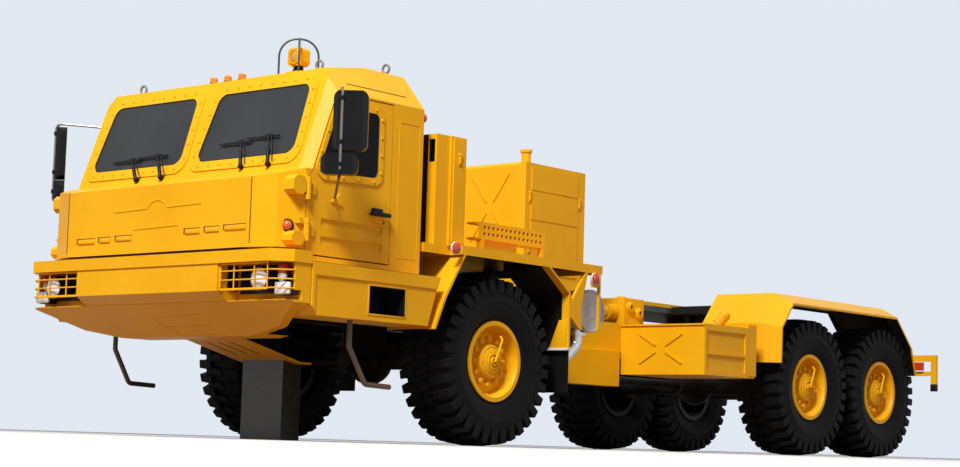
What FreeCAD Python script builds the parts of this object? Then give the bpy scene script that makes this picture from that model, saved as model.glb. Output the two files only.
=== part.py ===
import FreeCAD, Part
import math
import operator
import os

import Sketcher
from FreeCAD import Placement, Rotation, Vector

# Display model of a six-wheel off-road tractor truck, one tenth of full size, in millimetres.
# Frame: +Z up, wheels stand on Z = 0, the nose faces -Y and the truck's left side is +X.
# The origin is under the middle of the bounding box.

doc = FreeCAD.newDocument("tractor_truck")
sheet = doc.addObject("Spreadsheet::Sheet", "sizes")


# ---------------------------------------------------------------- driving sizes

DRIVING = {
    # overall
    "half_width": 146.9,        # bumper ends, step boxes and deck edges
    "nose_overhang": 249.3,     # bumper face to front axle
    "wheelbase": 489.0,         # front axle to first rear axle
    "bogie_spread": 142.0,      # between the two rear axles
    "tail_overhang": 155.0,     # last axle to tail frame
    # wheels
    "tyre_radius": 67.5,
    "tyre_width": 49.0,
    "tyre_inset": 5.9,          # half_width to the outer tyre wall
    "rim_seat": 30.0,           # radius that the tyre sits on
    "rim_lip": 2.2,             # lip height above the seat
    "rim_half": 20.4,           # half width over the rim lips
    "spindle_radius": 8.0,
    "bearing_gap": 0.05,        # radial play of a wheel on its spindle
    "kingpin_inset": 12.5,      # wheel centre to kingpin axis
    "kingpin_radius": 4.0,
    # frame
    "rail_outside": 44.0,
    "rail_top": 119.0,
    "rail_height": 27.0,
    "rail_flange": 12.0,
    "plate": 3.0,               # general sheet thickness of the model
    "thin": 1.6,                # thin sheet thickness
    # cab
    "cab_inset": 12.9,          # half_width to the door face
    "cab_setback": 8.3,         # bumper face to cab nose
    "cab_length": 150.0,
    "cab_bottom": 129.5,
    "nose_top": 188.5,
    "screen_foot": 196.0,
    "screen_head": 275.7,
    "eave": 257.0,
    "roof_top": 284.0,
    "door_bottom": 134.0,
    "door_top": 254.7,
    "door_gap": 1.0,
    # bumper
    "lip_top": 134.5,
    "lip_height": 8.8,
    "bumper_bottom": 105.8,
    "belly_bottom": 76.0,
    # deck behind the cab
    "deck_top": 154.7,
    "deck_edge": 7.2,
    "deck_length": 127.0,       # front axle to the rear edge of the deck
    # hood behind the deck
    "hood_half": 37.0,
    "hood_front": 151.4,        # front axle to the hood's face
    "hood_length": 93.6,
    "hood_top": 256.0,
    # side boxes ahead of the bogie
    "box_length": 88.0,
    "box_top": 118.0,
    "box_bottom": 71.0,
    # fenders over the bogie
    "fender_top": 157.0,
    "fender_inside": 62.0,
    # fifth wheel
    "coupling_top": 152.0,
    "kingpin_slot": 4.6,        # radius of the towing pin's hole
    # plinth
    "plinth_width": 46.0,
    "plinth_depth": 20.0,
}

for row, (name, value) in enumerate(DRIVING.items(), start=1):
    sheet.set(f"A{row}", name)
    sheet.set(f"B{row}", str(value))
    sheet.setAlias(f"B{row}", name)
doc.recompute()


class Size:
    """A length that knows both its value and the sheet expression behind it."""

    def __init__(self, value, text):
        self.value = value
        self.text = text

    def __add__(self, other):
        return combined(self, "+", other)

    def __radd__(self, other):
        return combined(other, "+", self)

    def __sub__(self, other):
        return combined(self, "-", other)

    def __rsub__(self, other):
        return combined(other, "-", self)

    def __mul__(self, other):
        return combined(self, "*", other)

    def __rmul__(self, other):
        return combined(other, "*", self)

    def __truediv__(self, other):
        return combined(self, "/", other)

    def __rtruediv__(self, other):
        return combined(other, "/", self)

    def __neg__(self):
        return combined(0, "-", self)


OPERATORS = {"+": operator.add, "-": operator.sub, "*": operator.mul, "/": operator.truediv}


def size(thing):
    """Any number or Size as a Size."""
    if isinstance(thing, Size):
        return thing
    return Size(float(thing), f"({float(thing):.6f})")


def combined(first, sign, second):
    first, second = size(first), size(second)
    return Size(OPERATORS[sign](first.value, second.value), f"({first.text} {sign} {second.text})")


def driving(name):
    return Size(float(sheet.get(name)), f"sizes.{name}")


def bind(thing, prop, amount):
    thing.setExpression(prop, size(amount).text)


# ---------------------------------------------------------------- ways of making solids

def box(label, x, y, z):
    """Block between two x, two y and two z stations."""
    block = doc.addObject("Part::Box", label)
    for side, axis, (low, high) in zip(("Length", "Width", "Height"), "xyz", (x, y, z)):
        bind(block, side, size(high) - low)
        bind(block, f"Placement.Base.{axis}", low)
    return block


def move(thing, x, y, z):
    for axis, amount in zip("xyz", (x, y, z)):
        bind(thing, f"Placement.Base.{axis}", amount)
    return thing


ALONG = {
    "x": Rotation(Vector(0, 1, 0), 90),
    "y": Rotation(Vector(1, 0, 0), -90),
    "z": Rotation(),
}


def rod(label, radius, start, length, along="z"):
    """Cylinder from a start point, along one axis."""
    bar = doc.addObject("Part::Cylinder", label)
    bar.Placement = Placement(Vector(), ALONG[along])
    bind(bar, "Radius", radius)
    bind(bar, "Height", length)
    return move(bar, *start)


def ball(label, radius, centre):
    sphere = doc.addObject("Part::Sphere", label)
    bind(sphere, "Radius", radius)
    return move(sphere, *centre)


def plane_of(body, role):
    return next(item for item in body.Origin.OriginFeatures if item.Role == role)


def draw(sketch, corners):
    """Closed outline. Each corner is (u, v), or (u, v, rise) when the edge that leaves it is an arc
    of that rise, positive to the right of its direction."""
    spots = [(size(corner[0]), size(corner[1])) for corner in corners]
    ends = []
    for index, corner in enumerate(corners):
        following = (index + 1) % len(corners)
        here = Vector(spots[index][0].value, spots[index][1].value, 0)
        there = Vector(spots[following][0].value, spots[following][1].value, 0)
        if len(corner) == 2:
            sketch.addGeometry(Part.LineSegment(here, there))
            ends.append((1, 2))
            continue
        rise = size(corner[2])
        chord = there - here
        crown = (here + there) / 2 + Vector(chord.y, -chord.x, 0).normalize() * rise.value
        if rise.value > 0:
            sketch.addGeometry(Part.Arc(here, crown, there))
            ends.append((1, 2))
        else:
            sketch.addGeometry(Part.Arc(there, crown, here))
            ends.append((2, 1))
        across = spots[following][0] - spots[index][0]
        up = spots[following][1] - spots[index][1]
        depth = rise if rise.value > 0 else -rise
        radius = (across * across + up * up) / (8 * depth) + depth / 2
        key = sketch.addConstraint(Sketcher.Constraint("Radius", index, radius.value))
        sketch.setExpression(f"Constraints[{key}]", radius.text)
    for index in range(len(corners)):
        following = (index + 1) % len(corners)
        sketch.addConstraint(
            Sketcher.Constraint("Coincident", index, ends[index][1], following, ends[following][0]))
    for index, spot in enumerate(spots):
        for kind, amount in zip(("DistanceX", "DistanceY"), spot):
            key = sketch.addConstraint(
                Sketcher.Constraint(kind, -1, 1, index, ends[index][0], amount.value))
            sketch.setExpression(f"Constraints[{key}]", amount.text)


# sketch plane and the sign of its normal along the world axis that it faces
PLANES = {"x": ("YZ_Plane", 1), "y": ("XZ_Plane", -1), "z": ("XY_Plane", 1)}


def prism(label, along, outline, low, high):
    """Outline drawn across one axis and padded between two stations on it.
    Outline corners are (y, z) along x, (x, z) along y and (x, y) along z."""
    role, sign = PLANES[along]
    body = doc.addObject("PartDesign::Body", label)
    sketch = body.newObject("Sketcher::SketchObject", f"{label}_outline")
    sketch.AttachmentSupport = [(plane_of(body, role), "")]
    sketch.MapMode = "FlatFace"
    draw(sketch, outline)
    bind(sketch, "AttachmentOffset.Base.z", low if sign > 0 else -size(high))
    pad = body.newObject("PartDesign::Pad", f"{label}_pad")
    pad.Profile = sketch
    bind(pad, "Length", size(high) - low)
    return body


def inset(outline, skin):
    """The straight-sided outline moved inward by a skin thickness."""
    spots = [Vector(size(u).value, size(v).value, 0) for u, v in outline]
    count = len(spots)
    doubled_area = sum(spots[i - 1].x * spots[i].y - spots[i].x * spots[i - 1].y for i in range(count))
    turn = 1 if doubled_area > 0 else -1
    moved = []
    for index, (u, v) in enumerate(outline):
        before = (spots[index] - spots[index - 1]).normalize()
        after = (spots[(index + 1) % count] - spots[index]).normalize()
        first = Vector(-before.y, before.x, 0) * turn
        second = Vector(-after.y, after.x, 0) * turn
        share = (first + second) / (1 + first.dot(second))
        moved.append((size(u) + size(skin) * share.x, size(v) + size(skin) * share.y))
    return moved


def tapered(label, along, outline, low, far_outline, high):
    """Solid with plane sides between two outlines of as many corners, at two stations."""
    role, sign = PLANES[along]
    body = doc.addObject("PartDesign::Body", label)
    sketches = []
    for name, corners, station in (("near", outline, low), ("far", far_outline, high)):
        sketch = body.newObject("Sketcher::SketchObject", f"{label}_{name}")
        sketch.AttachmentSupport = [(plane_of(body, role), "")]
        sketch.MapMode = "FlatFace"
        draw(sketch, corners)
        bind(sketch, "AttachmentOffset.Base.z", station if sign > 0 else -size(station))
        sketches.append(sketch)
    loft = body.newObject("PartDesign::AdditiveLoft", f"{label}_loft")
    loft.Profile = sketches[0]
    loft.Sections = [sketches[1]]
    loft.Ruled = True
    return body


def rounded(block, radius):
    """The prism with its long edges, those along the pad, rounded."""
    doc.recompute()
    pad = block.Group[-1]
    normal = pad.Profile[0].Placement.Rotation.multVec(Vector(0, 0, 1))
    names = [
        f"Edge{index}" for index, edge in enumerate(pad.Shape.Edges, start=1)
        if abs(abs(edge.tangentAt(edge.FirstParameter).dot(normal)) - 1) < 1e-6
    ]
    fillet = block.newObject("PartDesign::Fillet", f"{block.Name}_fillet")
    fillet.Base = (pad, names)
    bind(fillet, "Radius", radius)
    return block


def turned(label, outline, centre, facing=1):
    """Solid of revolution about the X direction through a centre. Outline corners are
    (distance outward along the axis, radius); facing is -1 on the truck's right side."""
    body = doc.addObject("PartDesign::Body", label)
    sketch = body.newObject("Sketcher::SketchObject", f"{label}_outline")
    sketch.AttachmentSupport = [(plane_of(body, "XZ_Plane"), "")]
    sketch.MapMode = "FlatFace"
    draw(sketch, outline)
    spin = body.newObject("PartDesign::Revolution", f"{label}_turn")
    spin.Profile = sketch
    spin.ReferenceAxis = (sketch, ["H_Axis"])
    spin.Angle = 360
    body.Placement = Placement(Vector(), Rotation(Vector(0, 0, 1), 0 if facing > 0 else 180))
    return move(body, *centre)


def fuse(label, *parts):
    if len(parts) == 1:
        return parts[0]
    whole = doc.addObject("Part::MultiFuse", label)
    whole.Shapes = list(parts)
    return whole


def cut(label, base, *tools):
    result = doc.addObject("Part::Cut", label)
    result.Base = base
    result.Tool = fuse(f"{label}_tools", *tools)
    return result


def common(label, *parts):
    result = doc.addObject("Part::MultiCommon", label)
    result.Shapes = list(parts)
    return result


def group(label, *parts):
    """Like pieces of one node that don't touch each other."""
    bundle = doc.addObject("Part::Compound", label)
    bundle.Links = list(parts)
    return bundle


def mirrored(label, source):
    """The same piece for the other side of the truck."""
    twin = doc.addObject("Part::Mirroring", label)
    twin.Source = source
    twin.Normal = (1, 0, 0)
    return twin


def bent_rod(label, points, radius, bend):
    """Round bar through a list of points, with one bend radius at each inner point."""
    stops = [Vector(*(size(amount).value for amount in point)) for point in points]
    edges = []
    here = stops[0]
    for before, corner, after in zip(stops, stops[1:], stops[2:]):
        inward = (before - corner).normalize()
        outward = (after - corner).normalize()
        half = inward.getAngle(outward) / 2
        back = bend / math.tan(half)
        start = corner + inward * back
        finish = corner + outward * back
        middle = (inward + outward).normalize()
        crown = corner + middle * (bend / math.sin(half) - bend)
        edges.append(Part.LineSegment(here, start).toShape())
        edges.append(Part.Arc(start, crown, finish).toShape())
        here = finish
    edges.append(Part.LineSegment(here, stops[-1]).toShape())
    path = Part.Wire(edges)
    section = Part.Wire(Part.makeCircle(radius, stops[0], (stops[1] - stops[0]).normalize()))
    bar = doc.addObject("Part::Feature", label)
    bar.Shape = path.makePipeShell([section], True, False)
    return bar


def cross_ribs(label, along, centre, near, far, low, high):
    """Four raised strips on a face, each pointing at the face's centre. near and far are a strip's
    ends in one quarter of the face."""
    strips = []
    for across in (1, -1):
        for up in (1, -1):
            start = Vector(near[0] * across, near[1] * up, 0)
            finish = Vector(far[0] * across, far[1] * up, 0)
            run = (finish - start).normalize() * (RIB_WIDTH / 2)
            beside = Vector(-run.y, run.x, 0)
            corners = [start + beside, start - beside, finish - beside, finish + beside]
            outline = [(centre[0] + corner.x, centre[1] + corner.y) for corner in corners]
            strips.append(prism(f"{label}_{len(strips)}", along, outline, low, high))
    return strips


RIB_WIDTH = 1.8
RIB_PROUD = 1.2
nodes = []


def node(thing, name):
    """Declares a finished sub-part: its label names its file."""
    thing.Label = name
    nodes.append(thing)
    return thing


# ---------------------------------------------------------------- stations shared by the pieces

half_width = driving("half_width")
nose_overhang = driving("nose_overhang")
wheelbase = driving("wheelbase")
bogie_spread = driving("bogie_spread")
tail_overhang = driving("tail_overhang")
plate = driving("plate")
thin = driving("thin")

front_axle_y = (nose_overhang - wheelbase - bogie_spread - tail_overhang) / 2


def front(distance):
    """Station measured back from the front axle."""
    return front_axle_y + distance


def bogie(distance):
    """Station measured back from the first rear axle."""
    return front_axle_y + wheelbase + distance


nose_y = front(-nose_overhang)
tail_y = bogie(bogie_spread + tail_overhang)
tyre_radius = driving("tyre_radius")
tyre_width = driving("tyre_width")
wheel_x = half_width - driving("tyre_inset") - tyre_width / 2
kingpin_x = wheel_x - driving("kingpin_inset")
rail_outside = driving("rail_outside")
rail_top = driving("rail_top")
rail_bottom = rail_top - driving("rail_height")
deck_top = driving("deck_top")
deck_bottom = deck_top - driving("deck_edge")
AXLES = {"front": front(0), "middle": bogie(0), "rear": bogie(bogie_spread)}
SIDES = {"left": 1, "right": -1}


# ---------------------------------------------------------------- wheels

rim_seat = driving("rim_seat")
rim_lip = driving("rim_lip")
rim_half = driving("rim_half")
spindle_radius = driving("spindle_radius")
hub_bore = spindle_radius + driving("bearing_gap")
SPINDLE_TIP = 12.0          # how far the spindle passes the wheel's middle plane
HUB_FLOOR = 0.5             # end play inside the closed hub
HUB_INNER = 0.5             # hub's inner face, outboard of the middle plane
LIP_WALL = 2.0


def wheel_pieces(name, side, y):
    centre = (side * wheel_x, y, tyre_radius)
    seat_edge = rim_half - LIP_WALL
    lip = rim_seat + rim_lip
    rim_outline = [
        (-rim_half, rim_seat - 2.2), (-rim_half, lip), (-seat_edge, lip), (-seat_edge, rim_seat),
        (seat_edge, rim_seat), (seat_edge, lip), (rim_half, lip), (rim_half, lip - 3.4),
        (rim_half - 2.2, rim_seat - 2.2), (rim_half - 8, rim_seat - 3.4),
        (9.2, rim_seat - 5.4), (11, 20, -0.6), (11, 15.5), (14.5, 13.5), (16.8, 11, -0.5),
        (18, 6.5), (18, 0), (SPINDLE_TIP + HUB_FLOOR, 0), (SPINDLE_TIP + HUB_FLOOR, hub_bore),
        (HUB_INNER, hub_bore), (HUB_INNER, hub_bore + 3), (6, hub_bore + 4.5),
        (6, rim_seat - 6.5), (-8, rim_seat - 3.2),
    ]
    rim = turned(f"rim_{name}_turned", rim_outline, centre, side)
    tyre_half = tyre_width / 2
    shoulder = tyre_half - 2.6
    tread = tyre_half - 6
    tyre_outline = [
        (-seat_edge, rim_seat), (seat_edge, rim_seat), (seat_edge, lip, 2.2),
        (tyre_half, 45), (tyre_half, 51, 0.5), (shoulder, tyre_radius - 6.5, 0.9),
        (tread, tyre_radius), (-tread, tyre_radius, 0.9), (-shoulder, tyre_radius - 6.5, 0.5),
        (-tyre_half, 51), (-tyre_half, 45, 2.2), (-seat_edge, lip),
    ]
    tyre = turned(f"tyre_{name}_turned", tyre_outline, centre, side)
    node(rim, f"rim_{name}")
    node(tyre, f"tyre_{name}")


for axle, axle_y in AXLES.items():
    for side_name, side in SIDES.items():
        wheel_pieces(f"{axle}_{side_name}", side, axle_y)


# ---------------------------------------------------------------- axles, knuckles and springs

AXLE_TUBE = 9.0             # radius of the rear axle tubes
FRONT_TUBE = 6.5            # radius of the front axle tube, inside the kingpin eyes
DIFFERENTIAL = 19.0
YOKE_HALF = 9.0             # half height of the axle's kingpin eye
YOKE_RADIUS = 7.5
KNUCKLE_ARM = 4.0
KNUCKLE_GAP = 0.3
kingpin_radius = driving("kingpin_radius")
spindle_end = wheel_x + SPINDLE_TIP


def differential(label, y):
    bowl = ball(f"{label}_bowl", DIFFERENTIAL, (0, y, tyre_radius))
    bowl.Placement.Rotation = Rotation(Vector(0, 0, 1), 45)
    snout = doc.addObject("Part::Cone", f"{label}_snout")
    snout.Placement = Placement(Vector(), ALONG["y"])
    snout.Radius1 = 8
    snout.Radius2 = 15
    snout.Height = 22
    move(snout, 0, y - 32, tyre_radius)
    return [bowl, snout]


eye_parts = []
for side_name, side in SIDES.items():
    eye = rod(f"eye_{side_name}", YOKE_RADIUS,
              (side * kingpin_x, front(0), tyre_radius - YOKE_HALF), 2 * YOKE_HALF)
    eye_parts.append(eye)
beam = rod("front_tube", FRONT_TUBE, (-kingpin_x, front(0), tyre_radius), 2 * kingpin_x, "x")
front_solid = fuse("front_axle_solid", beam, *differential("front_axle", front(0)), *eye_parts)
pin_bores = [
    rod(f"pin_bore_{side_name}", kingpin_radius + driving("bearing_gap"),
        (side * kingpin_x, front(0), tyre_radius - YOKE_HALF - 1), 2 * YOKE_HALF + 2)
    for side_name, side in SIDES.items()
]
node(cut("front_axle_cut", front_solid, *pin_bores), "front_axle")


def knuckle(side_name, side):
    """Fork around the axle's eye, with its kingpin, flange and wheel spindle."""
    centre_x = side * kingpin_x
    arm_low = tyre_radius - YOKE_HALF - KNUCKLE_GAP - KNUCKLE_ARM
    arm_high = tyre_radius + YOKE_HALF + KNUCKLE_GAP
    reach = YOKE_RADIUS + 1.2
    parts = [rod(f"kingpin_{side_name}", kingpin_radius,
                 (centre_x, front(0), arm_low), 2 * (YOKE_HALF + KNUCKLE_GAP + KNUCKLE_ARM))]
    back = reach + 3
    for arm, low in (("lower", arm_low), ("upper", arm_high)):
        parts.append(rod(f"knuckle_{arm}_pad_{side_name}", 6.5, (centre_x, front(0), low), KNUCKLE_ARM))
        across = (kingpin_x, kingpin_x + back) if side > 0 else (-kingpin_x - back, -kingpin_x)
        parts.append(box(f"knuckle_{arm}_arm_{side_name}", across,
                         (front(-6.5), front(6.5)), (low, low + KNUCKLE_ARM)))
    parts.append(box(f"knuckle_web_{side_name}",
                     (kingpin_x + reach, kingpin_x + back) if side > 0
                     else (-kingpin_x - back, -kingpin_x - reach),
                     (front(-8), front(8)), (arm_low, arm_high + KNUCKLE_ARM)))
    start = kingpin_x + reach if side > 0 else -spindle_end
    parts.append(rod(f"spindle_{side_name}", spindle_radius,
                     (start, front(0), tyre_radius), spindle_end - kingpin_x - reach, "x"))
    return node(fuse(f"knuckle_{side_name}_solid", *parts), f"knuckle_{side_name}")


for side_name, side in SIDES.items():
    knuckle(side_name, side)

HUB_CLEAR = 1.5             # axle tube end to the hub's inner face
axle_solids = [front_solid]
axle_tubes = [beam]
for axle in ("middle", "rear"):
    y = AXLES[axle]
    tube_end = wheel_x + HUB_INNER - HUB_CLEAR
    tube = rod(f"{axle}_tube", AXLE_TUBE, (-tube_end, y, tyre_radius), 2 * tube_end, "x")
    shaft = rod(f"{axle}_spindle", spindle_radius, (-spindle_end, y, tyre_radius), 2 * spindle_end, "x")
    solid = fuse(f"{axle}_axle_solid", tube, shaft, *differential(f"{axle}_axle", y))
    axle_solids.append(solid)
    axle_tubes.append(tube)
    node(solid, f"{axle}_axle")


LEAF_WIDTH = 8.0
LEAF_THICK = 1.9
LEAF_PITCH = 2.0
LEAVES = 3


def leaf_pack(label, x, y, half_length, main_z, rise):
    """Curved leaves that get shorter away from the main leaf. A pack whose ends rise hangs from the
    rails by its ends. A pack whose ends drop hangs by its middle and rests on two axles."""
    stack = -1 if rise > 0 else 1
    across = (x - LEAF_WIDTH / 2, x + LEAF_WIDTH / 2)
    parts = []
    for index in range(LEAVES):
        reach = half_length * (1 - index / (LEAVES + 1))
        low = main_z + stack * index * LEAF_PITCH
        bow = rise * (1 - index / (LEAVES + 1)) ** 2
        outline = [
            (y - reach, low + bow, bow), (y + reach, low + bow), (y + reach, low + bow + LEAF_THICK, -bow),
            (y - reach, low + bow + LEAF_THICK),
        ]
        parts.append(prism(f"{label}_leaf_{index}", "x", outline, *across))
    pack_height = LEAVES * LEAF_PITCH
    if rise > 0:
        clamp_z = (main_z - pack_height, main_z + LEAF_THICK + 1)
        ends = [(-half_length - 3, -half_length + 3), (half_length - 3, half_length + 3)]
        end_z = (main_z + rise - 1, rail_bottom)
    else:
        clamp_z = (main_z - 1, rail_bottom)
        ends = [(-bogie_spread / 2 - 5, -bogie_spread / 2 + 5), (bogie_spread / 2 - 5, bogie_spread / 2 + 5)]
        end_z = (tyre_radius, main_z + rise + 1.5)
    parts.append(box(f"{label}_clamp", (x - LEAF_WIDTH / 2 - 1.5, x + LEAF_WIDTH / 2 + 1.5),
                     (y - 7, y + 7), clamp_z))
    for index, (low, high) in enumerate(ends):
        parts.append(box(f"{label}_end_{index}", across, (y + low, y + high), end_z))
    return cut(f"{label}_pack", fuse(f"{label}_solid", *parts), *axle_tubes)


spring_x = rail_outside - 6
front_leaf_z = tyre_radius + FRONT_TUBE + (LEAVES - 1) * LEAF_PITCH
bogie_leaf_z = rail_bottom - LEAVES * LEAF_PITCH - 1
springs = []
for side_name, side in SIDES.items():
    springs.append(leaf_pack(f"front_spring_{side_name}", side * spring_x, front(0), 62, front_leaf_z, 8.0))
    springs.append(leaf_pack(f"bogie_spring_{side_name}", side * spring_x, bogie(bogie_spread / 2),
                             bogie_spread / 2 + 6, bogie_leaf_z, -6.0))
node(group("spring_bundle", *springs), "leaf_springs")


# ---------------------------------------------------------------- frame

BUMPER_DEPTH = 30.6
bumper_back = nose_y + BUMPER_DEPTH
cab_bottom = driving("cab_bottom")


def rail(side_name, side):
    """Channel rail, open towards the middle of the truck, from the bumper to the tail."""
    flange = driving("rail_flange")
    outside = side * rail_outside
    inside = side * (rail_outside - flange)
    web = side * (rail_outside - thin)
    across = (inside, outside) if side > 0 else (outside, inside)
    hollow = (inside - 1, web) if side > 0 else (web, inside + 1)
    solid = box(f"rail_{side_name}_solid", across, (bumper_back, tail_y - plate), (rail_bottom, rail_top))
    void = box(f"rail_{side_name}_void", hollow, (bumper_back - 1, tail_y),
               (rail_bottom + thin, rail_top - thin))
    return cut(f"rail_{side_name}", solid, void)


CROSSMEMBER_RADIUS = 6.5
CROSSMEMBER_STATIONS = {
    "nose": front(-196), "cab": front(-95), "gearbox": front(95), "hood": front(250),
    "coupling_front": bogie(-25), "coupling_back": bogie(bogie_spread + 12),
}
crossmembers = [
    rod(f"{name}_crossmember", CROSSMEMBER_RADIUS,
        (-(rail_outside - thin / 2), station, (rail_top + rail_bottom) / 2), 2 * rail_outside - thin, "x")
    for name, station in CROSSMEMBER_STATIONS.items()
]
CAB_MOUNT_STATIONS = (-196.0, -110.0)
cab_mounts = [
    box(f"cab_mount_{side_name}_{index}", (side * 38 - 5, side * 38 + 5), (front(y) - 6, front(y) + 6),
        (rail_top - thin, cab_bottom))
    for side_name, side in SIDES.items() for index, y in enumerate(CAB_MOUNT_STATIONS)
]
rails = [rail(name, side) for name, side in SIDES.items()]
node(fuse("frame_solid", *rails, *crossmembers, *cab_mounts), "ladder_frame")

TANK_SPAN = (196.0, 292.0)
TANK_INSIDE = 30.0
TANK_PROUD = 3.0            # tank face outside the rail
TANK_BOTTOM = 59.5
tank_left = box("side_tank_block", (TANK_INSIDE, rail_outside + TANK_PROUD),
                (front(TANK_SPAN[0]), front(TANK_SPAN[1])), (TANK_BOTTOM, rail_bottom))
node(group("side_tank_pair", tank_left, mirrored("side_tank_right", tank_left)), "side_tanks")

case_end = front(150)
shafts = [
    rod("shaft_forward", 4.5, (0, front(0), tyre_radius), case_end - front(0), "y"),
    rod("shaft_back", 4.5, (0, case_end - 1, tyre_radius), bogie(0) - case_end, "y"),
    rod("shaft_bogie", 4.0, (0, bogie(0), tyre_radius), bogie_spread, "y"),
    box("transfer_case", (-24, 24), (front(88), case_end),
        (tyre_radius - 16, (rail_top + rail_bottom) / 2)),
]
node(cut("drive_line_cut", fuse("drive_line_solid", *shafts), *axle_solids, *crossmembers), "drive_line")


# ---------------------------------------------------------------- bumper and belly

lip_top = driving("lip_top")
lip_bottom = lip_top - driving("lip_height")
bumper_bottom = driving("bumper_bottom")
belly_bottom = driving("belly_bottom")
CORNER_CUT = 12.6
LIP_PROUD = 1.0
BAY_INNER = 80.0            # inner edge of the lamp bay from the middle line
BAY_DEPTH = 22.0
RETURN_BACK = 12.0          # the bumper's lower edge turns in to here, and the belly starts there
RETURN_DROP = 6.8

bumper_plan = [
    (-(half_width - CORNER_CUT), nose_y), (half_width - CORNER_CUT, nose_y),
    (half_width, nose_y + CORNER_CUT), (half_width, bumper_back),
    (-half_width, bumper_back), (-half_width, nose_y + CORNER_CUT),
]
bumper_block = prism("bumper_block", "z", bumper_plan, bumper_bottom, lip_top)
groove_plan = [
    (-(half_width + 2), nose_y - 2), (half_width + 2, nose_y - 2), (half_width + 2, bumper_back + 1),
    (half_width - LIP_PROUD, bumper_back + 1), (half_width - LIP_PROUD, nose_y + CORNER_CUT),
    (half_width - CORNER_CUT, nose_y + LIP_PROUD), (-(half_width - CORNER_CUT), nose_y + LIP_PROUD),
    (-(half_width - LIP_PROUD), nose_y + CORNER_CUT), (-(half_width - LIP_PROUD), bumper_back + 1),
    (-(half_width + 2), bumper_back + 1),
]
groove = prism("bumper_groove", "z", groove_plan, bumper_bottom - 1, lip_bottom)
bays = []
for side_name, side in SIDES.items():
    across = (BAY_INNER, half_width + 5) if side > 0 else (-(half_width + 5), -BAY_INNER)
    bays.append(box(f"lamp_bay_{side_name}", across, (nose_y - 5, nose_y + BAY_DEPTH),
                    (bumper_bottom - RETURN_DROP, lip_bottom)))
lower_return = prism("bumper_return", "x", [
    (nose_y + LIP_PROUD, bumper_bottom), (nose_y + RETURN_BACK, bumper_bottom - RETURN_DROP),
    (nose_y + RETURN_BACK, bumper_bottom),
], -BAY_INNER, BAY_INNER)
BAY_SIDE = 15.0             # how far the lamp bay is open round the bumper's end
cheeks = []
for side_name, side in SIDES.items():
    across = (half_width - 2.7, half_width - LIP_PROUD)
    if side < 0:
        across = (LIP_PROUD - half_width, 2.7 - half_width)
    cheeks.append(box(f"bay_cheek_{side_name}", across, (nose_y + BAY_SIDE, nose_y + BAY_DEPTH + 1),
                      (bumper_bottom, lip_bottom + 1)))
node(fuse("bumper_solid", cut("bumper_cut", bumper_block, groove, *bays), lower_return, *cheeks), "front_bumper")

BELLY_BACK = -177.0         # rear edge of the belly's flat, from the front axle
belly_side = [
    (nose_y + RETURN_BACK, bumper_bottom), (nose_y + RETURN_BACK, bumper_bottom - RETURN_DROP),
    (front(-206), belly_bottom), (front(BELLY_BACK), belly_bottom),
    (front(BELLY_BACK), belly_bottom + thin), (front(-200), belly_bottom + thin),
    (bumper_back, rail_bottom), (bumper_back, bumper_bottom),
]
belly_front = [
    (-(half_width - LIP_PROUD), bumper_bottom + 1), (-(half_width - LIP_PROUD), 97.4), (-110, 82),
    (-74, belly_bottom), (74, belly_bottom), (110, 82), (half_width - LIP_PROUD, 97.4),
    (half_width - LIP_PROUD, bumper_bottom + 1),
]
belly_plan = [
    (-(half_width - CORNER_CUT), nose_y), (half_width - CORNER_CUT, nose_y),
    (half_width, nose_y + CORNER_CUT), (half_width, front(BELLY_BACK)),
    (-half_width, front(BELLY_BACK)), (-half_width, nose_y + CORNER_CUT),
]
belly = common(
    "belly_common",
    prism("belly_profile", "x", belly_side, -half_width, half_width),
    prism("belly_outline", "y", belly_front, nose_y, front(BELLY_BACK)),
    prism("belly_corners", "z", belly_plan, belly_bottom - 1, bumper_bottom),
)
RAMP_HALF = 31.0
RAMP_FOOT = -112.0          # foot of the ramp, from the front axle
RAMP_BACK = -100.0
RAMP_LOW = 60.0             # underside of the ramp's foot
ramp_side = [
    (front(BELLY_BACK), belly_bottom), (front(RAMP_FOOT), RAMP_LOW), (front(RAMP_BACK), RAMP_LOW),
    (front(RAMP_BACK), RAMP_LOW + thin), (front(RAMP_FOOT), RAMP_LOW + thin),
    (front(BELLY_BACK), belly_bottom + thin),
]
ramp_sheet = prism("ramp_sheet", "x", ramp_side, -RAMP_HALF, RAMP_HALF)
slots = [
    box(f"ramp_slot_{index}", (x, x + 2.2), (front(-170), front(-136)), (RAMP_LOW, belly_bottom + thin))
    for index, x in enumerate((-16.0, -3.0, 10.0))
]
window = box("ramp_window", (-16, 14), (front(-121), front(-114)), (RAMP_LOW, belly_bottom))
ramp = cut("ramp_cut", ramp_sheet, *slots, window)
node(cut("belly_cut", fuse("belly_solid", belly, ramp), *bays), "belly_pan")

plinth_width = driving("plinth_width")
plinth_depth = driving("plinth_depth")
PLINTH_FRONT = -123.3
plinth_front_y = front(PLINTH_FRONT)
ramp_rise = (belly_bottom - RAMP_LOW) / (RAMP_FOOT - BELLY_BACK)
plinth_outline = [
    (plinth_front_y, 0), (plinth_front_y + plinth_depth, 0), (plinth_front_y + plinth_depth, RAMP_LOW),
    (front(RAMP_FOOT), RAMP_LOW), (plinth_front_y, RAMP_LOW + (RAMP_FOOT - PLINTH_FRONT) * ramp_rise),
]
node(prism("plinth_block", "x", plinth_outline, -plinth_width / 2, plinth_width / 2), "support_block")


# ---------------------------------------------------------------- step boxes and access steps

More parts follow.
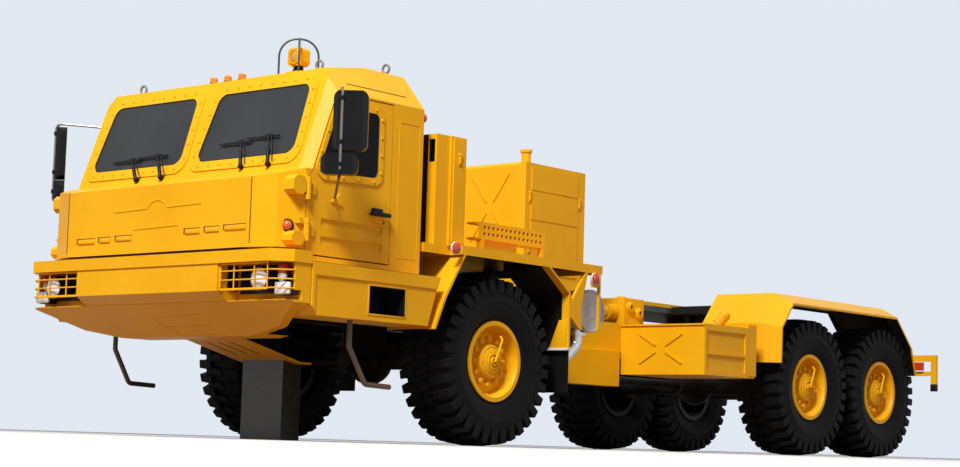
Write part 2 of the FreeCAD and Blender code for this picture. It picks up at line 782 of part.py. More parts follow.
STEP_BOX_INSIDE = 104.0
step_box_profile = [
    (bumper_back + 1, 127.5), (front(-80), 127.5), (front(-92.5), 89.5), (front(-212), 89.5),
    (bumper_back + 1, 96),
]
STEP_MOUTH_DEPTH = 26.0
STEP_ARM_STATIONS = (-201.0, -109.0)
STEP_BAND_LOW = 118.3
step_box_left = fuse(
    "step_box_left",
    cut("step_box_cut",
        prism("step_box_solid", "x", step_box_profile, STEP_BOX_INSIDE, half_width),
        box("step_box_panel", (half_width - LIP_PROUD, half_width + 1),
            (bumper_back + 4, front(-75)), (80, STEP_BAND_LOW)),
        box("step_box_mouth", (half_width - STEP_MOUTH_DEPTH, half_width + 2),
            (front(-158), front(-119)), (94.5, 115))),
    *[box(f"step_box_arm_{index}", (rail_outside, STEP_BOX_INSIDE + 1), (front(y) - 3, front(y) + 3),
          (100, 110))
      for index, y in enumerate(STEP_ARM_STATIONS)],
)
node(group("step_box_pair", step_box_left, mirrored("step_box_right", step_box_left)), "step_boxes")

STEP_ROD = 2.0
step_points = [
    (133, front(-164), 89.5), (133, front(-164), 70), (134, front(-147), 43),
    (134, front(-120), 42),
]
step_left = bent_rod("step_rod_left", step_points, STEP_ROD, 5.0)
step_right = mirrored("step_rod_right", step_left)
node(group("step_rod_pair", step_left, step_right), "access_steps")


# ---------------------------------------------------------------- cab

cab_half = half_width - driving("cab_inset")
cab_nose = nose_y + driving("cab_setback")
cab_back = cab_nose + driving("cab_length")
nose_top = driving("nose_top")
screen_foot = driving("screen_foot")
screen_head = driving("screen_head")
eave = driving("eave")
roof_top = driving("roof_top")
door_gap = driving("door_gap")
FOOT_BACK = 25.4            # nose to the foot of the windscreen
HEAD_BACK = 54.5            # nose to the head of the windscreen
RIDGE_BACK = 101.2          # nose to the front of the flat roof
ROOF_HALF = 113.0
NOSE_FLAT = 103.0           # half width of the flat nose panel
CHEEK_IN = 9.2              # door face to the nose's outer facet edge
CHEEK_BACK = 6.6
DOOR_FRONT_BACK = 25.0      # nose to the end of the cheek
PILLAR_IN = 8.0             # door face to the windscreen's edge

NOSE_GAP = 3.0              # bumper's top to the nose's lower edge
nose_bottom = lip_top + NOSE_GAP
sill_front = bumper_back + 1.5
cab_side = [
    (cab_nose, nose_bottom), (sill_front, nose_bottom), (sill_front, cab_bottom),
    (cab_back, cab_bottom), (cab_back, eave), (cab_back - 2, roof_top),
    (cab_nose + RIDGE_BACK, roof_top), (cab_nose + HEAD_BACK, screen_head),
    (cab_nose + FOOT_BACK, screen_foot), (cab_nose, nose_top),
]
cab_front = [
    (-cab_half, cab_bottom), (cab_half, cab_bottom), (cab_half, eave), (ROOF_HALF, roof_top),
    (-ROOF_HALF, roof_top), (-cab_half, eave),
]
nose_plan = [
    (-NOSE_FLAT, cab_nose), (NOSE_FLAT, cab_nose), (cab_half - CHEEK_IN, cab_nose + CHEEK_BACK),
    (cab_half, cab_nose + DOOR_FRONT_BACK), (cab_half, cab_back), (-cab_half, cab_back),
    (-cab_half, cab_nose + DOOR_FRONT_BACK), (-(cab_half - CHEEK_IN), cab_nose + CHEEK_BACK),
]
screen_plan = [
    (-(cab_half - PILLAR_IN), cab_nose + FOOT_BACK), (cab_half - PILLAR_IN, cab_nose + FOOT_BACK),
    (cab_half, cab_nose + FOOT_BACK + 6), (cab_half, cab_back), (-cab_half, cab_back),
    (-cab_half, cab_nose + FOOT_BACK + 6),
]
lean = (HEAD_BACK - FOOT_BACK) / (screen_head - screen_foot)


def cab_volume(label, skin):
    """Everything inside the cab's outer faces, moved inward by a skin thickness."""
    lower = prism(f"{label}_lower", "z", inset(nose_plan, skin), cab_bottom, screen_foot)
    upper = prism(f"{label}_upper", "z", inset(screen_plan, skin), screen_foot, roof_top + 5)
    upper_pad = upper.Group[-1]
    upper_pad.UseCustomVector = True
    upper_pad.AlongSketchNormal = True
    upper_pad.Direction = Vector(0, lean.value, 1)
    return common(
        f"{label}_volume",
        prism(f"{label}_side", "x", inset(cab_side, skin), -cab_half, cab_half),
        prism(f"{label}_front", "y", inset(cab_front, skin), cab_nose, cab_back),
        fuse(f"{label}_plans", lower, upper),
    )


cab_outer = cab_volume("cab", 0)
cab_walls = cut("cab_walls", cab_outer, cab_volume("cab_room", plate))


def seated(label, thing):
    """The fitting with its foot cut to the cab's outer face."""
    return cut(f"{label}_seated", thing, cab_outer)


DOOR_FRONT = 26.5           # nose to the door's lower front edge
DOOR_BACK = 115.0           # nose to the door's rear edge
door_bottom = driving("door_bottom")
door_top = driving("door_top")


def along_pillar(z):
    """Station of the pillar's rear edge at a height."""
    return cab_nose + FOOT_BACK + 6 + (z - screen_foot) * lean


def door_outline(grow):
    front_low = cab_nose + DOOR_FRONT - grow
    return [
        (front_low, door_bottom - grow), (cab_nose + DOOR_BACK + grow, door_bottom - grow),
        (cab_nose + DOOR_BACK + grow, door_top + grow),
        (along_pillar(door_top) + 1.5 - grow, door_top + grow),
        (along_pillar(screen_foot) + 1.5 - grow, screen_foot), (front_low, screen_foot - 9),
    ]


WINDOW_FRONT = 6.0
WINDOW_BORDER = 5.5         # width of the bolted frame round the door's window
FRAME_PROUD = 1.0           # how far the bolted window frames stand off the cab's faces
window_outline = [
    (cab_nose + 41, 195), (cab_nose + 99.5, 197), (cab_nose + 99.5, 245.5),
    (along_pillar(245.5) + WINDOW_FRONT, 245.5), (along_pillar(203) + WINDOW_FRONT, 203),
]
inside_wall = cab_half - plate - 0.5
door_hole = prism("door_hole", "x", door_outline(door_gap), inside_wall, cab_half + 1)
door_blank = prism("door_blank", "x", door_outline(0), inside_wall, cab_half + 1)
side_window = prism("side_window", "x", window_outline, inside_wall - 1, cab_half + 2)
rounded(side_window, 5.0)

HINGE_RADIUS = 2.2
HINGE_HEIGHTS = (147.0, 177.0)
HINGE_LENGTH = 8.0
hinge_x = cab_half + HINGE_RADIUS
hinge_y = cab_nose + DOOR_FRONT - door_gap
hinge_leaves = []
hinge_barrels = []
for index, height in enumerate(HINGE_HEIGHTS):
    barrel = rod(f"hinge_barrel_{index}", HINGE_RADIUS, (hinge_x, hinge_y, height), HINGE_LENGTH)
    tongue = box(f"hinge_tongue_{index}", (cab_half - 1, cab_half + 1.4), (hinge_y, hinge_y + 9),
                 (height, height + HINGE_LENGTH))
    hinge_barrels += [barrel, tongue]
    for end, low in (("lower", height - 4.2), ("upper", height + HINGE_LENGTH + 0.2)):
        knuckle_rod = rod(f"hinge_{end}_{index}", HINGE_RADIUS, (hinge_x, hinge_y, low), 4)
        leaf = box(f"hinge_leaf_{end}_{index}", (cab_half - 3.2, cab_half + 1.4),
                   (hinge_y - 7, hinge_y), (low, low + 4))
        hinge_leaves += [knuckle_rod, leaf]

SWAGE_DEPTH = 1.2
swages = [
    box(f"door_swage_{index}", (cab_half - SWAGE_DEPTH, cab_half + 1), (cab_nose + 42, cab_nose + 107),
        (low, low + 5.8))
    for index, low in enumerate((142.2, 155.2))
]
CAP_HALF_LENGTH = 6.2
CAP_HEIGHTS = ((182.5, 6.7), (144.0, 5.0))  # each cap's middle and half height
CAP_BEVEL = 3.0
CAP_FACE = 3.5              # cap's face outside the cab's side
cap_centre_y = cab_nose + 16.3
caps = []
for index, (height, half_height) in enumerate(CAP_HEIGHTS):
    ends = (cap_centre_y - CAP_HALF_LENGTH, cap_centre_y + CAP_HALF_LENGTH)
    low = height - half_height
    high = height + half_height
    octagon = [
        (ends[0] + CAP_BEVEL, low), (ends[1] - CAP_BEVEL, low), (ends[1], low + CAP_BEVEL),
        (ends[1], high - CAP_BEVEL), (ends[1] - CAP_BEVEL, high), (ends[0] + CAP_BEVEL, high),
        (ends[0], high - CAP_BEVEL), (ends[0], low + CAP_BEVEL),
    ]
    cap = prism(f"hinge_cap_{index}", "x", octagon, cab_half - 10, cab_half + CAP_FACE)
    caps.append(cut(f"hinge_cap_left_{index}", seated(f"hinge_cap_{index}", cap), *hinge_leaves))
cap_pairs = caps + [mirrored(f"hinge_cap_right_{index}", cap) for index, cap in enumerate(caps)]
node(group("hinge_cap_set", *cap_pairs), "hinge_caps")

door_panel = cut("door_panel", common("door_skin", cab_walls, door_blank), side_window, *swages)
window_border = prism("window_border", "x", inset(window_outline, -WINDOW_BORDER),
                      cab_half - 0.5, cab_half + FRAME_PROUD)
window_frame = cut(
    "window_frame",
    common("window_frame_trimmed", rounded(window_border, 9.0),
           prism("window_frame_limit", "x", door_outline(-0.6), cab_half - 1, cab_half + 2)),
    side_window,
)
handle = fuse(
    "door_handle",
    box("handle_bar", (cab_half + 1.5, cab_half + 4.5), (cab_nose + 92, cab_nose + 111.5), (168.6, 171.2)),
    box("handle_base", (cab_half - 0.5, cab_half + 3), (cab_nose + 95.5, cab_nose + 104.5), (163.5, 169)),
    box("handle_tab", (cab_half - 0.5, cab_half + 3.5), (cab_nose + 94, cab_nose + 103.5), (171, 174)),
)
ARM_ROOT = 57.0             # nose to the two roots of the mirror's arm on the door
mirror_foot = prism("mirror_foot", "x", [
    (cab_nose + ARM_ROOT - 6, 174), (cab_nose + ARM_ROOT + 6, 172), (cab_nose + ARM_ROOT + 3, 181),
], cab_half - 0.5, cab_half + 1.2)
door_left = fuse("door_left_solid", door_panel, window_frame, *hinge_barrels, handle, mirror_foot)
glass_left = common("glass_left_skin", cab_walls, side_window)
door_right = mirrored("door_right_solid", door_left)
glass_right = mirrored("glass_right_skin", glass_left)
node(door_left, "door_left")
node(door_right, "door_right")
node(glass_left, "door_glass_left")
node(glass_right, "door_glass_right")

PANE_INNER = (9.0, 13.0)
PANE_OUTER = (19.0, 23.0)   # cab's side to the pane's outer edge, at its foot and head
pane_outline = [
    (PANE_INNER[0], screen_foot + 12.8), (cab_half - PANE_OUTER[0], screen_foot + 12.8),
    (cab_half - PANE_OUTER[1], screen_head - 11.7), (PANE_INNER[1], screen_head - 11.7),
]
pane_left = prism("pane_left_block", "y", pane_outline, cab_nose + 15, cab_nose + 85)
rounded(pane_left, 8.0)
pane_right = mirrored("pane_right_block", pane_left)
panes = common("pane_skins", cab_walls, fuse("pane_blocks", pane_left, pane_right))
node(panes, "windscreen")

SCREEN_BORDER = 7.5         # width of the bolted frame round each pane
screen_border = prism("screen_border", "y", inset(pane_outline, -SCREEN_BORDER), cab_nose + 10, cab_nose + 90)
frame_left = cut(
    "screen_frame_left",
    common("screen_frame_skin", cab_volume("frame_face", -FRAME_PROUD), rounded(screen_border, 12.0)),
    cab_outer, pane_left,
)
screen_frames = [frame_left, mirrored("screen_frame_right", frame_left)]
node(group("screen_frame_pair", *screen_frames), "screen_frames")

roof_side = [
    (cab_nose + HEAD_BACK - 6, screen_head - 6), (cab_back + 2, eave - 1), (cab_back + 2, roof_top + 5),
    (cab_nose + HEAD_BACK - 8, roof_top + 5),
]
roof_block = prism("roof_block", "x", roof_side, -cab_half - 1, cab_half + 1)
shell_walls = cut("shell_walls", cab_walls, door_hole, mirrored("door_hole_right", door_hole),
                  pane_left, pane_right)
node(common("roof_skin", shell_walls, roof_block), "cab_roof")
hinges_left = fuse("hinges_left", *hinge_leaves)
hinges_right = mirrored("hinges_right", hinges_left)
shell_body = cut("shell_body", shell_walls, roof_block)
node(fuse("cab_shell_solid", shell_body, hinges_left, hinges_right), "cab_shell")

floor_top = cab_bottom + plate
seats = []
for side_name, side in SIDES.items():
    x = side * 66
    base = box(f"seat_base_{side_name}", (x - 19, x + 19), (cab_back - 66, cab_back - 32),
               (floor_top, floor_top + 22))
    cushion = box(f"seat_cushion_{side_name}", (x - 23, x + 23), (cab_back - 72, cab_back - 28),
                  (floor_top + 22, floor_top + 34))
    back = prism(f"seat_back_{side_name}", "x", [
        (cab_back - 36, floor_top + 30), (cab_back - 24, floor_top + 30),
        (cab_back - 13, floor_top + 92), (cab_back - 22, floor_top + 92),
    ], x - 22, x + 22)
    seats.append(fuse(f"seat_{side_name}", base, cushion, back))
node(group("seat_pair", *seats), "seats")

dash_side = [
    (cab_nose + plate, floor_top + 20), (cab_nose + 34, floor_top + 28), (cab_nose + 40, floor_top + 50),
    (cab_nose + 32, floor_top + 58), (cab_nose + 26, floor_top + 57), (cab_nose + plate, floor_top + 50),
]
dash_half = cab_half - 36
dash = prism("dash_block", "x", dash_side, -dash_half, dash_half)
node(dash, "dashboard")
STEERING_X = 66.0
COLUMN_LEAN = 62.0          # from upright, leaning back towards the driver
COLUMN_LENGTH = 24.0
lean_y = math.sin(math.radians(COLUMN_LEAN))
lean_z = math.cos(math.radians(COLUMN_LEAN))
column_foot = (STEERING_X, cab_nose + 36, floor_top + 46)
column = rod("steering_column", 2.4, column_foot, COLUMN_LENGTH)
ring = doc.addObject("Part::Torus", "steering_ring")
ring.Radius1 = 20
ring.Radius2 = 1.7
move(ring, STEERING_X, column_foot[1] + (COLUMN_LENGTH - 2) * lean_y,
     column_foot[2] + (COLUMN_LENGTH - 2) * lean_z)
spoke = box("steering_spoke", (STEERING_X - 20, STEERING_X + 20), (0, 4), (0, 2))
move(spoke, STEERING_X - 20, column_foot[1] + (COLUMN_LENGTH - 3) * lean_y - 2 * lean_z,
     column_foot[2] + (COLUMN_LENGTH - 3) * lean_z + 2 * lean_y)
for piece in (column, ring, spoke):
    piece.Placement.Rotation = Rotation(Vector(1, 0, 0), -COLUMN_LEAN)
node(cut("steering_cut", fuse("steering_solid", column, ring, spoke), dash), "steering_wheel")


# ---------------------------------------------------------------- fittings of the cab

MIRROR_REACH = 31.4         # door face to the mirror's middle
MIRROR_TURN = 38.0          # the housings are turned in towards the driver
mirror_x = cab_half + MIRROR_REACH
mirror_y = cab_nose + 36.5
HOUSING_BACK = 4.5          # housing's back in front of the mirror's middle
HOUSING_GLASS = 4.0         # its open side, behind the middle


def mirror_housing(label, half, slide, low, high):
    """Shell with rounded corners and a bevelled back, turned towards the driver. Its middle may
    slide along the glass, towards the truck's nose when negative."""
    bevel = HOUSING_BACK - 1
    near, far = slide - half, slide + half
    plan = [
        (near, HOUSING_GLASS), (far, HOUSING_GLASS), (far, -1), (far - bevel, -HOUSING_BACK),
        (near + bevel, -HOUSING_BACK), (near, -1),
    ]
    face = [(near, low), (far, low), (far, high), (near, high)]
    shapes = [prism(f"{label}_plan", "z", plan, low, high), prism(f"{label}_face", "y", face, -8, 8)]
    rounded(shapes[1], 5.0)
    for shape in shapes:
        shape.Placement.Rotation = Rotation(Vector(0, 0, 1), MIRROR_TURN)
        move(shape, mirror_x, mirror_y, 0)
    return common(f"{label}_housing", *shapes)


ARM_RADIUS = 0.9
ARM_SLIDE = -6.0            # the arm stands beside the housing's middle
arm_offset = HOUSING_BACK + ARM_RADIUS - 0.5
along_glass = Vector(math.cos(math.radians(MIRROR_TURN)), math.sin(math.radians(MIRROR_TURN)), 0)
arm_x = mirror_x + arm_offset * along_glass.y + ARM_SLIDE * along_glass.x
arm_y = mirror_y - arm_offset * along_glass.x + ARM_SLIDE * along_glass.y
arm_root_y = cab_nose + ARM_ROOT
mirror_arm = bent_rod("mirror_arm", [
    (cab_half - 2, arm_root_y, 251), (arm_x, arm_y, 253.5),
    (arm_x, arm_y, 189), (cab_half - 2, arm_root_y, 176),
], ARM_RADIUS, 5.0)
mirror_solid = fuse("mirror_left_solid", mirror_housing("mirror_main", 12.6, 0, 207, 250.5),
                    mirror_housing("mirror_wide", 13.5, -7, 189.5, 205), mirror_arm)
mirror_left = cut("mirror_left_cut", seated("mirror", mirror_solid), mirror_foot, window_frame)
node(mirror_left, "mirror_left")
node(mirrored("mirror_right_solid", mirror_left), "mirror_right")

WIPER_ROOTS = (-54.0, -25.0, 64.0, 93.0)
WIPER_RISE = 20.0           # from the pivot up to the blade
BLADE_SPAN = (-39.0, 2.0)   # the blade's ends beside the pivot
wipers = []
for index, x in enumerate(WIPER_ROOTS):
    foot_z = screen_foot + 5
    foot_y = cab_nose + FOOT_BACK + 5 * lean
    blade_y = foot_y - 3.6 + WIPER_RISE * lean
    post = rod(f"wiper_post_{index}", 2.2, (x, foot_y - 5, foot_z), 6, "y")
    arm_rod = bent_rod(f"wiper_arm_{index}", [
        (x, foot_y - 4.2, foot_z - 1), (x - 1, foot_y - 3.8 + WIPER_RISE / 2 * lean, foot_z + WIPER_RISE / 2),
        (x - 6, blade_y, foot_z + WIPER_RISE),
    ], 1.0, 5.0)
    blade = rod(f"wiper_blade_{index}", 1.0, (x + BLADE_SPAN[0], blade_y, foot_z + WIPER_RISE),
                BLADE_SPAN[1] - BLADE_SPAN[0], "x")
    wiper = seated(f"wiper_{index}", fuse(f"wiper_{index}", post, arm_rod, blade))
    wipers.append(cut(f"wiper_{index}_cut", wiper, *screen_frames))
node(group("wiper_set", *wipers), "wipers")

BEACON_X = 62.0
BEACON_HALF = 7.75          # half width of the head
BEACON_LIFT = 3.0           # roof to the head's underside
BEACON_HEIGHT = 14.0
beacon_y = cab_nose + 83
lamp_base = box("beacon_base", (BEACON_X - 8, BEACON_X + 8), (beacon_y - 6, beacon_y + 6),
                (screen_head, roof_top - 1.5))
neck = rod("beacon_neck", 3.0, (BEACON_X, beacon_y, roof_top - 2), BEACON_LIFT + 3)
head_low = roof_top + BEACON_LIFT
head_high = head_low + BEACON_HEIGHT
lamp_head = prism("beacon_head", "y", [
    (BEACON_X - BEACON_HALF, head_low), (BEACON_X + BEACON_HALF, head_low),
    (BEACON_X + BEACON_HALF, head_high), (BEACON_X - BEACON_HALF, head_high),
], beacon_y - 4.5, beacon_y + 4.5)
rounded(lamp_head, 3.5)
node(seated("beacon", fuse("beacon_solid", lamp_base, neck, lamp_head)), "searchlight")

GUARD_WIRE = 0.8
GUARD_TOP = 24.5            # roof to the crown of the two crossing hoops
GUARD_REACH = (11.0, 10.5)  # lamp's middle to the hoops' feet
guards = []
for index, lean_to in enumerate((1, -1)):
    dx = GUARD_REACH[0]
    dy = GUARD_REACH[1] * lean_to
    crown = roof_top + GUARD_TOP
    guard_points = [
        (BEACON_X - dx, beacon_y - dy, screen_head - 5), (BEACON_X - dx, beacon_y - dy, crown),
        (BEACON_X + dx, beacon_y + dy, crown), (BEACON_X + dx, beacon_y + dy, screen_head - 5),
    ]
    guards.append(bent_rod(f"guard_{index}", guard_points, GUARD_WIRE, 14.0))
node(seated("guard", fuse("guard_solid", *guards)), "searchlight_guard")

MARKER_PITCH = 16.2
markers = []
for index in (-1, 0, 1):
    x = index * MARKER_PITCH
    marker = rod(f"marker_{index + 1}", 3.0, (x, cab_nose + 67, screen_head + 0.5), 5.5)
    markers.append(seated(f"marker_{index + 1}", marker))
EYE_SPOTS = ((101.0, 67.0), (101.0, 140.0))
for index, (x, back) in enumerate(EYE_SPOTS + tuple((-x, back) for x, back in EYE_SPOTS)):
    post_foot = screen_head - 3 if back < RIDGE_BACK else roof_top - 2
    post = rod(f"eye_post_{index}", 1.3, (x, cab_nose + back, post_foot), 5.5)
    ring = doc.addObject("Part::Torus", f"eye_ring_{index}")
    ring.Radius1 = 3.4
    ring.Radius2 = 1.0
    ring.Placement.Rotation = Rotation(Vector(1, 0, 0), 90)
    move(ring, x, cab_nose + back, post_foot + 8.6)
    markers.append(seated(f"eye_{index}", fuse(f"eye_{index}", post, ring)))
node(group("roof_fitting_set", *markers), "roof_fittings")


# ---------------------------------------------------------------- front lamps

lamps = []
red_lamps = []
grille_bars = []
GRILLE_WIRE = 0.55
GRILLE_POSTS = (65.4, 51.4, 30.4, 16.9)     # in from the bumper's end
lamp_back = nose_y + BAY_DEPTH
for side_name, side in SIDES.items():
    head_x = side * (half_width - 29.9)
    dome_x = side * (half_width - 13.4)
    square = (half_width - 20.9, half_width - 2.9) if side > 0 else (2.9 - half_width, 20.9 - half_width)
    lamps.append(rod(f"headlamp_{side_name}", 8.5, (head_x, nose_y + 8, 114.5), BAY_DEPTH - 8, "y"))
    lamps.append(box(f"fog_lamp_{side_name}", square, (nose_y + 13, lamp_back), (101.5, 110.8)))
    for colour, lamp_list, z, radius in (("red", red_lamps, 121.6, 3.8), ("clear", lamps, 114.4, 3.2)):
        lamp_list.append(fuse(
            f"{colour}_dome_lamp_{side_name}",
            ball(f"{colour}_dome_{side_name}", radius, (dome_x, nose_y + 15, z)),
            rod(f"{colour}_stem_{side_name}", radius * 0.8, (dome_x, nose_y + 15, z), BAY_DEPTH - 15, "y")))
    for index, from_end in enumerate(GRILLE_POSTS):
        grille_bars.append(rod(f"grille_post_{side_name}_{index}", GRILLE_WIRE,
                               (side * (half_width - from_end), nose_y + 3, bumper_bottom),
                               lip_bottom - bumper_bottom))
    for index, lift in enumerate((1, 7.5, 14)):
        points = [
            (side * (half_width - GRILLE_POSTS[0] - 1.5), nose_y + 3, bumper_bottom + lift),
            (side * (half_width - CORNER_CUT), nose_y + 3, bumper_bottom + lift),
            (side * (half_width - 1.6), nose_y + CORNER_CUT, bumper_bottom + lift),
            (side * (half_width - 1.6), nose_y + BAY_SIDE, bumper_bottom + lift),
        ]
        grille_bars.append(bent_rod(f"grille_bar_{side_name}_{index}", points, GRILLE_WIRE, 1.2))
node(group("lamp_set", *lamps), "front_lamps")
node(fuse("grille_solid", *grille_bars), "lamp_grilles")


# ---------------------------------------------------------------- deck over the front wheels

deck_back = front(driving("deck_length"))
DECK_FRONT = -87.0
DECK_STEP = -56.0
deck_plan = [
    (-cab_half, front(DECK_FRONT)), (cab_half, front(DECK_FRONT)), (cab_half, front(DECK_STEP)),
    (half_width, front(DECK_STEP)), (half_width, deck_back), (-half_width, deck_back),
    (-half_width, front(DECK_STEP)), (-cab_half, front(DECK_STEP)),
]
deck_solid = prism("deck_solid", "z", deck_plan, deck_bottom, deck_top)
deck_hollow = prism("deck_hollow", "z", inset(deck_plan, thin), deck_bottom - 1, deck_top - thin)
deck_posts = [
    box(f"deck_post_{side_name}_{index}", (side * 38 - 5, side * 38 + 5), (front(y) - 5, front(y) + 5),
        (rail_top, deck_top - thin))
    for side_name, side in SIDES.items() for index, y in enumerate((-40, 40, 110))
]
LAMP_FOOT = 2.0
lamp_feet = []
for side_name, side in SIDES.items():
    across = (half_width - LAMP_FOOT, half_width) if side > 0 else (-half_width, -half_width + LAMP_FOOT)
    lamp_feet.append(box(f"lamp_foot_{side_name}", across, (front(113), front(125)), (136, deck_bottom)))
    lamp_feet.append(box(f"lamp_strip_{side_name}", across, (front(122.5), front(125)), (100, deck_bottom)))
deck_sheet = cut("deck_sheet", deck_solid, deck_hollow)
node(fuse("deck_whole", deck_sheet, *deck_posts, *lamp_feet), "deck")

ARCH_INSIDE = 98.0
ARCH_SHEET = 2.0
sheet_under = deck_top - thin
front_arch = [
    (front(-53), sheet_under), (front(-53), deck_bottom), (front(-75), 113), (front(-86), 88),
    (front(-86) + ARCH_SHEET, 87.5), (front(-75) + ARCH_SHEET, 112), (front(-51), deck_bottom),
    (front(-51), sheet_under),
]
rear_arch = [
    (front(54), sheet_under), (front(54), deck_bottom), (front(82), 127.6), (front(82), 82),
    (front(82) + ARCH_SHEET, 82), (front(82) + ARCH_SHEET, 128.6), (front(56.5), deck_bottom),
    (front(56.5), sheet_under),
]
rear_brace = [
    (front(104), sheet_under), (front(104), deck_bottom), (front(83), 118), (front(83), 110),
    (front(97), 99), (front(100), 99), (front(98), 116), (front(107), deck_bottom), (front(107), sheet_under),
]
arch_solid = fuse(
    "arch_solid",
    prism("arch_front_sheet", "x", front_arch, ARCH_INSIDE, half_width),
    prism("arch_rear_sheet", "x", rear_arch, ARCH_INSIDE, half_width),
    prism("arch_brace", "x", rear_brace, half_width - 3, half_width),
)
arch_left = cut("arch_left", arch_solid, deck_sheet)
node(group("arch_pair", arch_left, mirrored("arch_right", arch_left)), "wheel_arches")
flaps = [
    box(f"flap_{side_name}", (ARCH_INSIDE, half_width - 2) if side > 0 else (-(half_width - 2), -ARCH_INSIDE),
        (front(82) + ARCH_SHEET, front(82) + ARCH_SHEET + 1.6), (46, 90))
    for side_name, side in SIDES.items()
]
node(group("flap_pair", *flaps), "mud_flaps")

SIDE_LAMP_PROUD = 2.5
SIDE_LAMP_SPOTS = ((-65.0, 151.5), (115.5, 143.0))
side_lamps = [
    rod(f"side_lamp_{side_name}_{index}", 4.5,
        (half_width if side > 0 else -half_width - SIDE_LAMP_PROUD, front(y), z), SIDE_LAMP_PROUD, "x")
    for side_name, side in SIDES.items() for index, (y, z) in enumerate(SIDE_LAMP_SPOTS)
]

dome_spots = (
    ("indicator", cab_half - 5.6, cab_nose + 13.8, 153.2, 3.4),
    ("rear_dome", cab_half - 6, cab_back + 1, 251.0, 4.0),
)
cab_domes = []
for name, x, y, z, radius in dome_spots:
    dome = seated(f"{name}_left", ball(f"{name}_ball", radius, (x, y, z)))
    cab_domes += [dome, mirrored(f"{name}_right", dome)]

tower = box("intake_tower_block", (100, cab_half), (front(-75), front(-60)), (deck_top, 241))
tower_mouth = box("intake_mouth", (cab_half - 8, cab_half - 2), (front(-77), front(-63)), (219, 237))
cabinet = box("cabinet_block", (86, cab_half + 2), (front(-60), front(-42)), (deck_top, 241))
cabinet_door = box("cabinet_door", (cab_half, cab_half + 3), (front(-57.5), front(-43.5)),
                   (deck_top + 3, 239))
intake_left = fuse("intake_left", cut("intake_tower", tower, tower_mouth), cabinet, cabinet_door)
node(group("intake_pair", intake_left, mirrored("intake_right", intake_left)), "air_intakes")

TREAD_SPAN = (-6.0, 79.0)
TREAD_TOP = 180.0
TREAD_FACE = 122.0
TREAD_PITCH = 5.6
tread_low = TREAD_TOP - 14
tread_profile = [
    (108, TREAD_TOP), (TREAD_FACE, TREAD_TOP), (TREAD_FACE, tread_low), (108, tread_low),
    (108, tread_low + thin), (TREAD_FACE - thin, tread_low + thin),
    (TREAD_FACE - thin, TREAD_TOP - thin), (108, TREAD_TOP - thin),
]
tread_holes = [
    rod(f"tread_hole_{row}_{column}", 1.5,
        (TREAD_FACE - 3, front(TREAD_SPAN[0] + 6 + column * TREAD_PITCH), tread_low + lift), 4, "x")
    for row, lift in enumerate((4.6, 9.8)) for column in range(14)
]
tread_left = fuse(
    "tread_left",
    cut("tread_sheet", prism("tread_tray", "y", tread_profile, front(TREAD_SPAN[0]), front(TREAD_SPAN[1])),
        *tread_holes),
    box("tread_leg_0", (118, 122), (front(-4), front(0)), (deck_top, tread_low)),
    box("tread_leg_1", (118, 122), (front(74), front(78)), (deck_top, tread_low)),
    box("tread_toe_plate", (117, 119), (front(-4), front(45)), (deck_top, tread_low)),
)
node(group("tread_pair", tread_left, mirrored("tread_right", tread_left)), "hood_steps")


# ---------------------------------------------------------------- hood, exhaust and pump

hood_half = driving("hood_half")
hood_front = front(driving("hood_front"))
hood_back = hood_front + driving("hood_length")
hood_top = driving("hood_top")
HOOD_CORNER = 5.0
hood_plan = [
    (-(hood_half - HOOD_CORNER), hood_front), (hood_half - HOOD_CORNER, hood_front),
    (hood_half, hood_front + HOOD_CORNER), (hood_half, hood_back),
    (-hood_half, hood_back), (-hood_half, hood_front + HOOD_CORNER),
]
hood_profile = [
    (hood_front, rail_top), (hood_back, rail_top), (hood_back, hood_top),
    (hood_front + 3, hood_top), (hood_front, hood_top - 3),
]
hood_block = common(
    "hood_block",
    prism("hood_plan_block", "z", hood_plan, rail_top, hood_top),
    prism("hood_side_block", "x", hood_profile, -hood_half, hood_half),
)
filler_pipe = rod("filler_pipe", 4.4, (14, hood_front + 33, hood_top - 1), 17)
filler_flange = rod("filler_flange", 5.6, (14, hood_front + 33, hood_top + 13.5), 2.5)
HOOD_SEAMS = (100.0, 52.0, 25.0, 3.0)       # the side panels' edges, down from the hood's top
SEAM = 1.2
PANEL_PROUD = 0.8
hood_ribs = cross_ribs("hood_rib", "y", (0, hood_top - 40), (4, 5), (22, 30),
                       hood_front - RIB_PROUD, hood_front + 1)
hood_panels = [
    box(f"hood_panel_{index}", (hood_half - 1, hood_half + PANEL_PROUD), (hood_front + 13, hood_front + 82),
        (hood_top - low + SEAM / 2, hood_top - high - SEAM / 2))
    for index, (low, high) in enumerate(zip(HOOD_SEAMS, HOOD_SEAMS[1:]))
]
hood_panels += [mirrored(f"hood_panel_right_{index}", panel) for index, panel in enumerate(hood_panels)]
back_plate = box("hood_back_plate", (-hood_half + 3, hood_half - 3), (hood_back, hood_back + 3),
                 (rail_top, hood_top - 15))
node(fuse("hood_solid", hood_block, filler_pipe, filler_flange, back_plate, *hood_ribs, *hood_panels),
     "engine_hood")

drum = rod("muffler_drum", 18, (52, front(128), 117), half_width - 12 - 52, "x")
drum_band = rod("muffler_band", 18.8, (120, front(128), 117), 3, "x")
muffler_strap = box("muffler_strap", (rail_outside, 60), (front(122), front(134)), (108, 118))
node(fuse("muffler_solid", drum, drum_band, muffler_strap), "muffler")
elbow_points = [
    (124, front(123), 104), (124, front(122), 88), (122, front(106), 74),
]
elbow = bent_rod("exhaust_pipe", elbow_points, 5.5, 9.0)
elbow_flange = rod("exhaust_flange", 8.0, (124, front(122.5), 95.5), 3)
node(cut("exhaust_cut", fuse("exhaust_solid", elbow, elbow_flange), drum, drum_band), "exhaust_outlet")

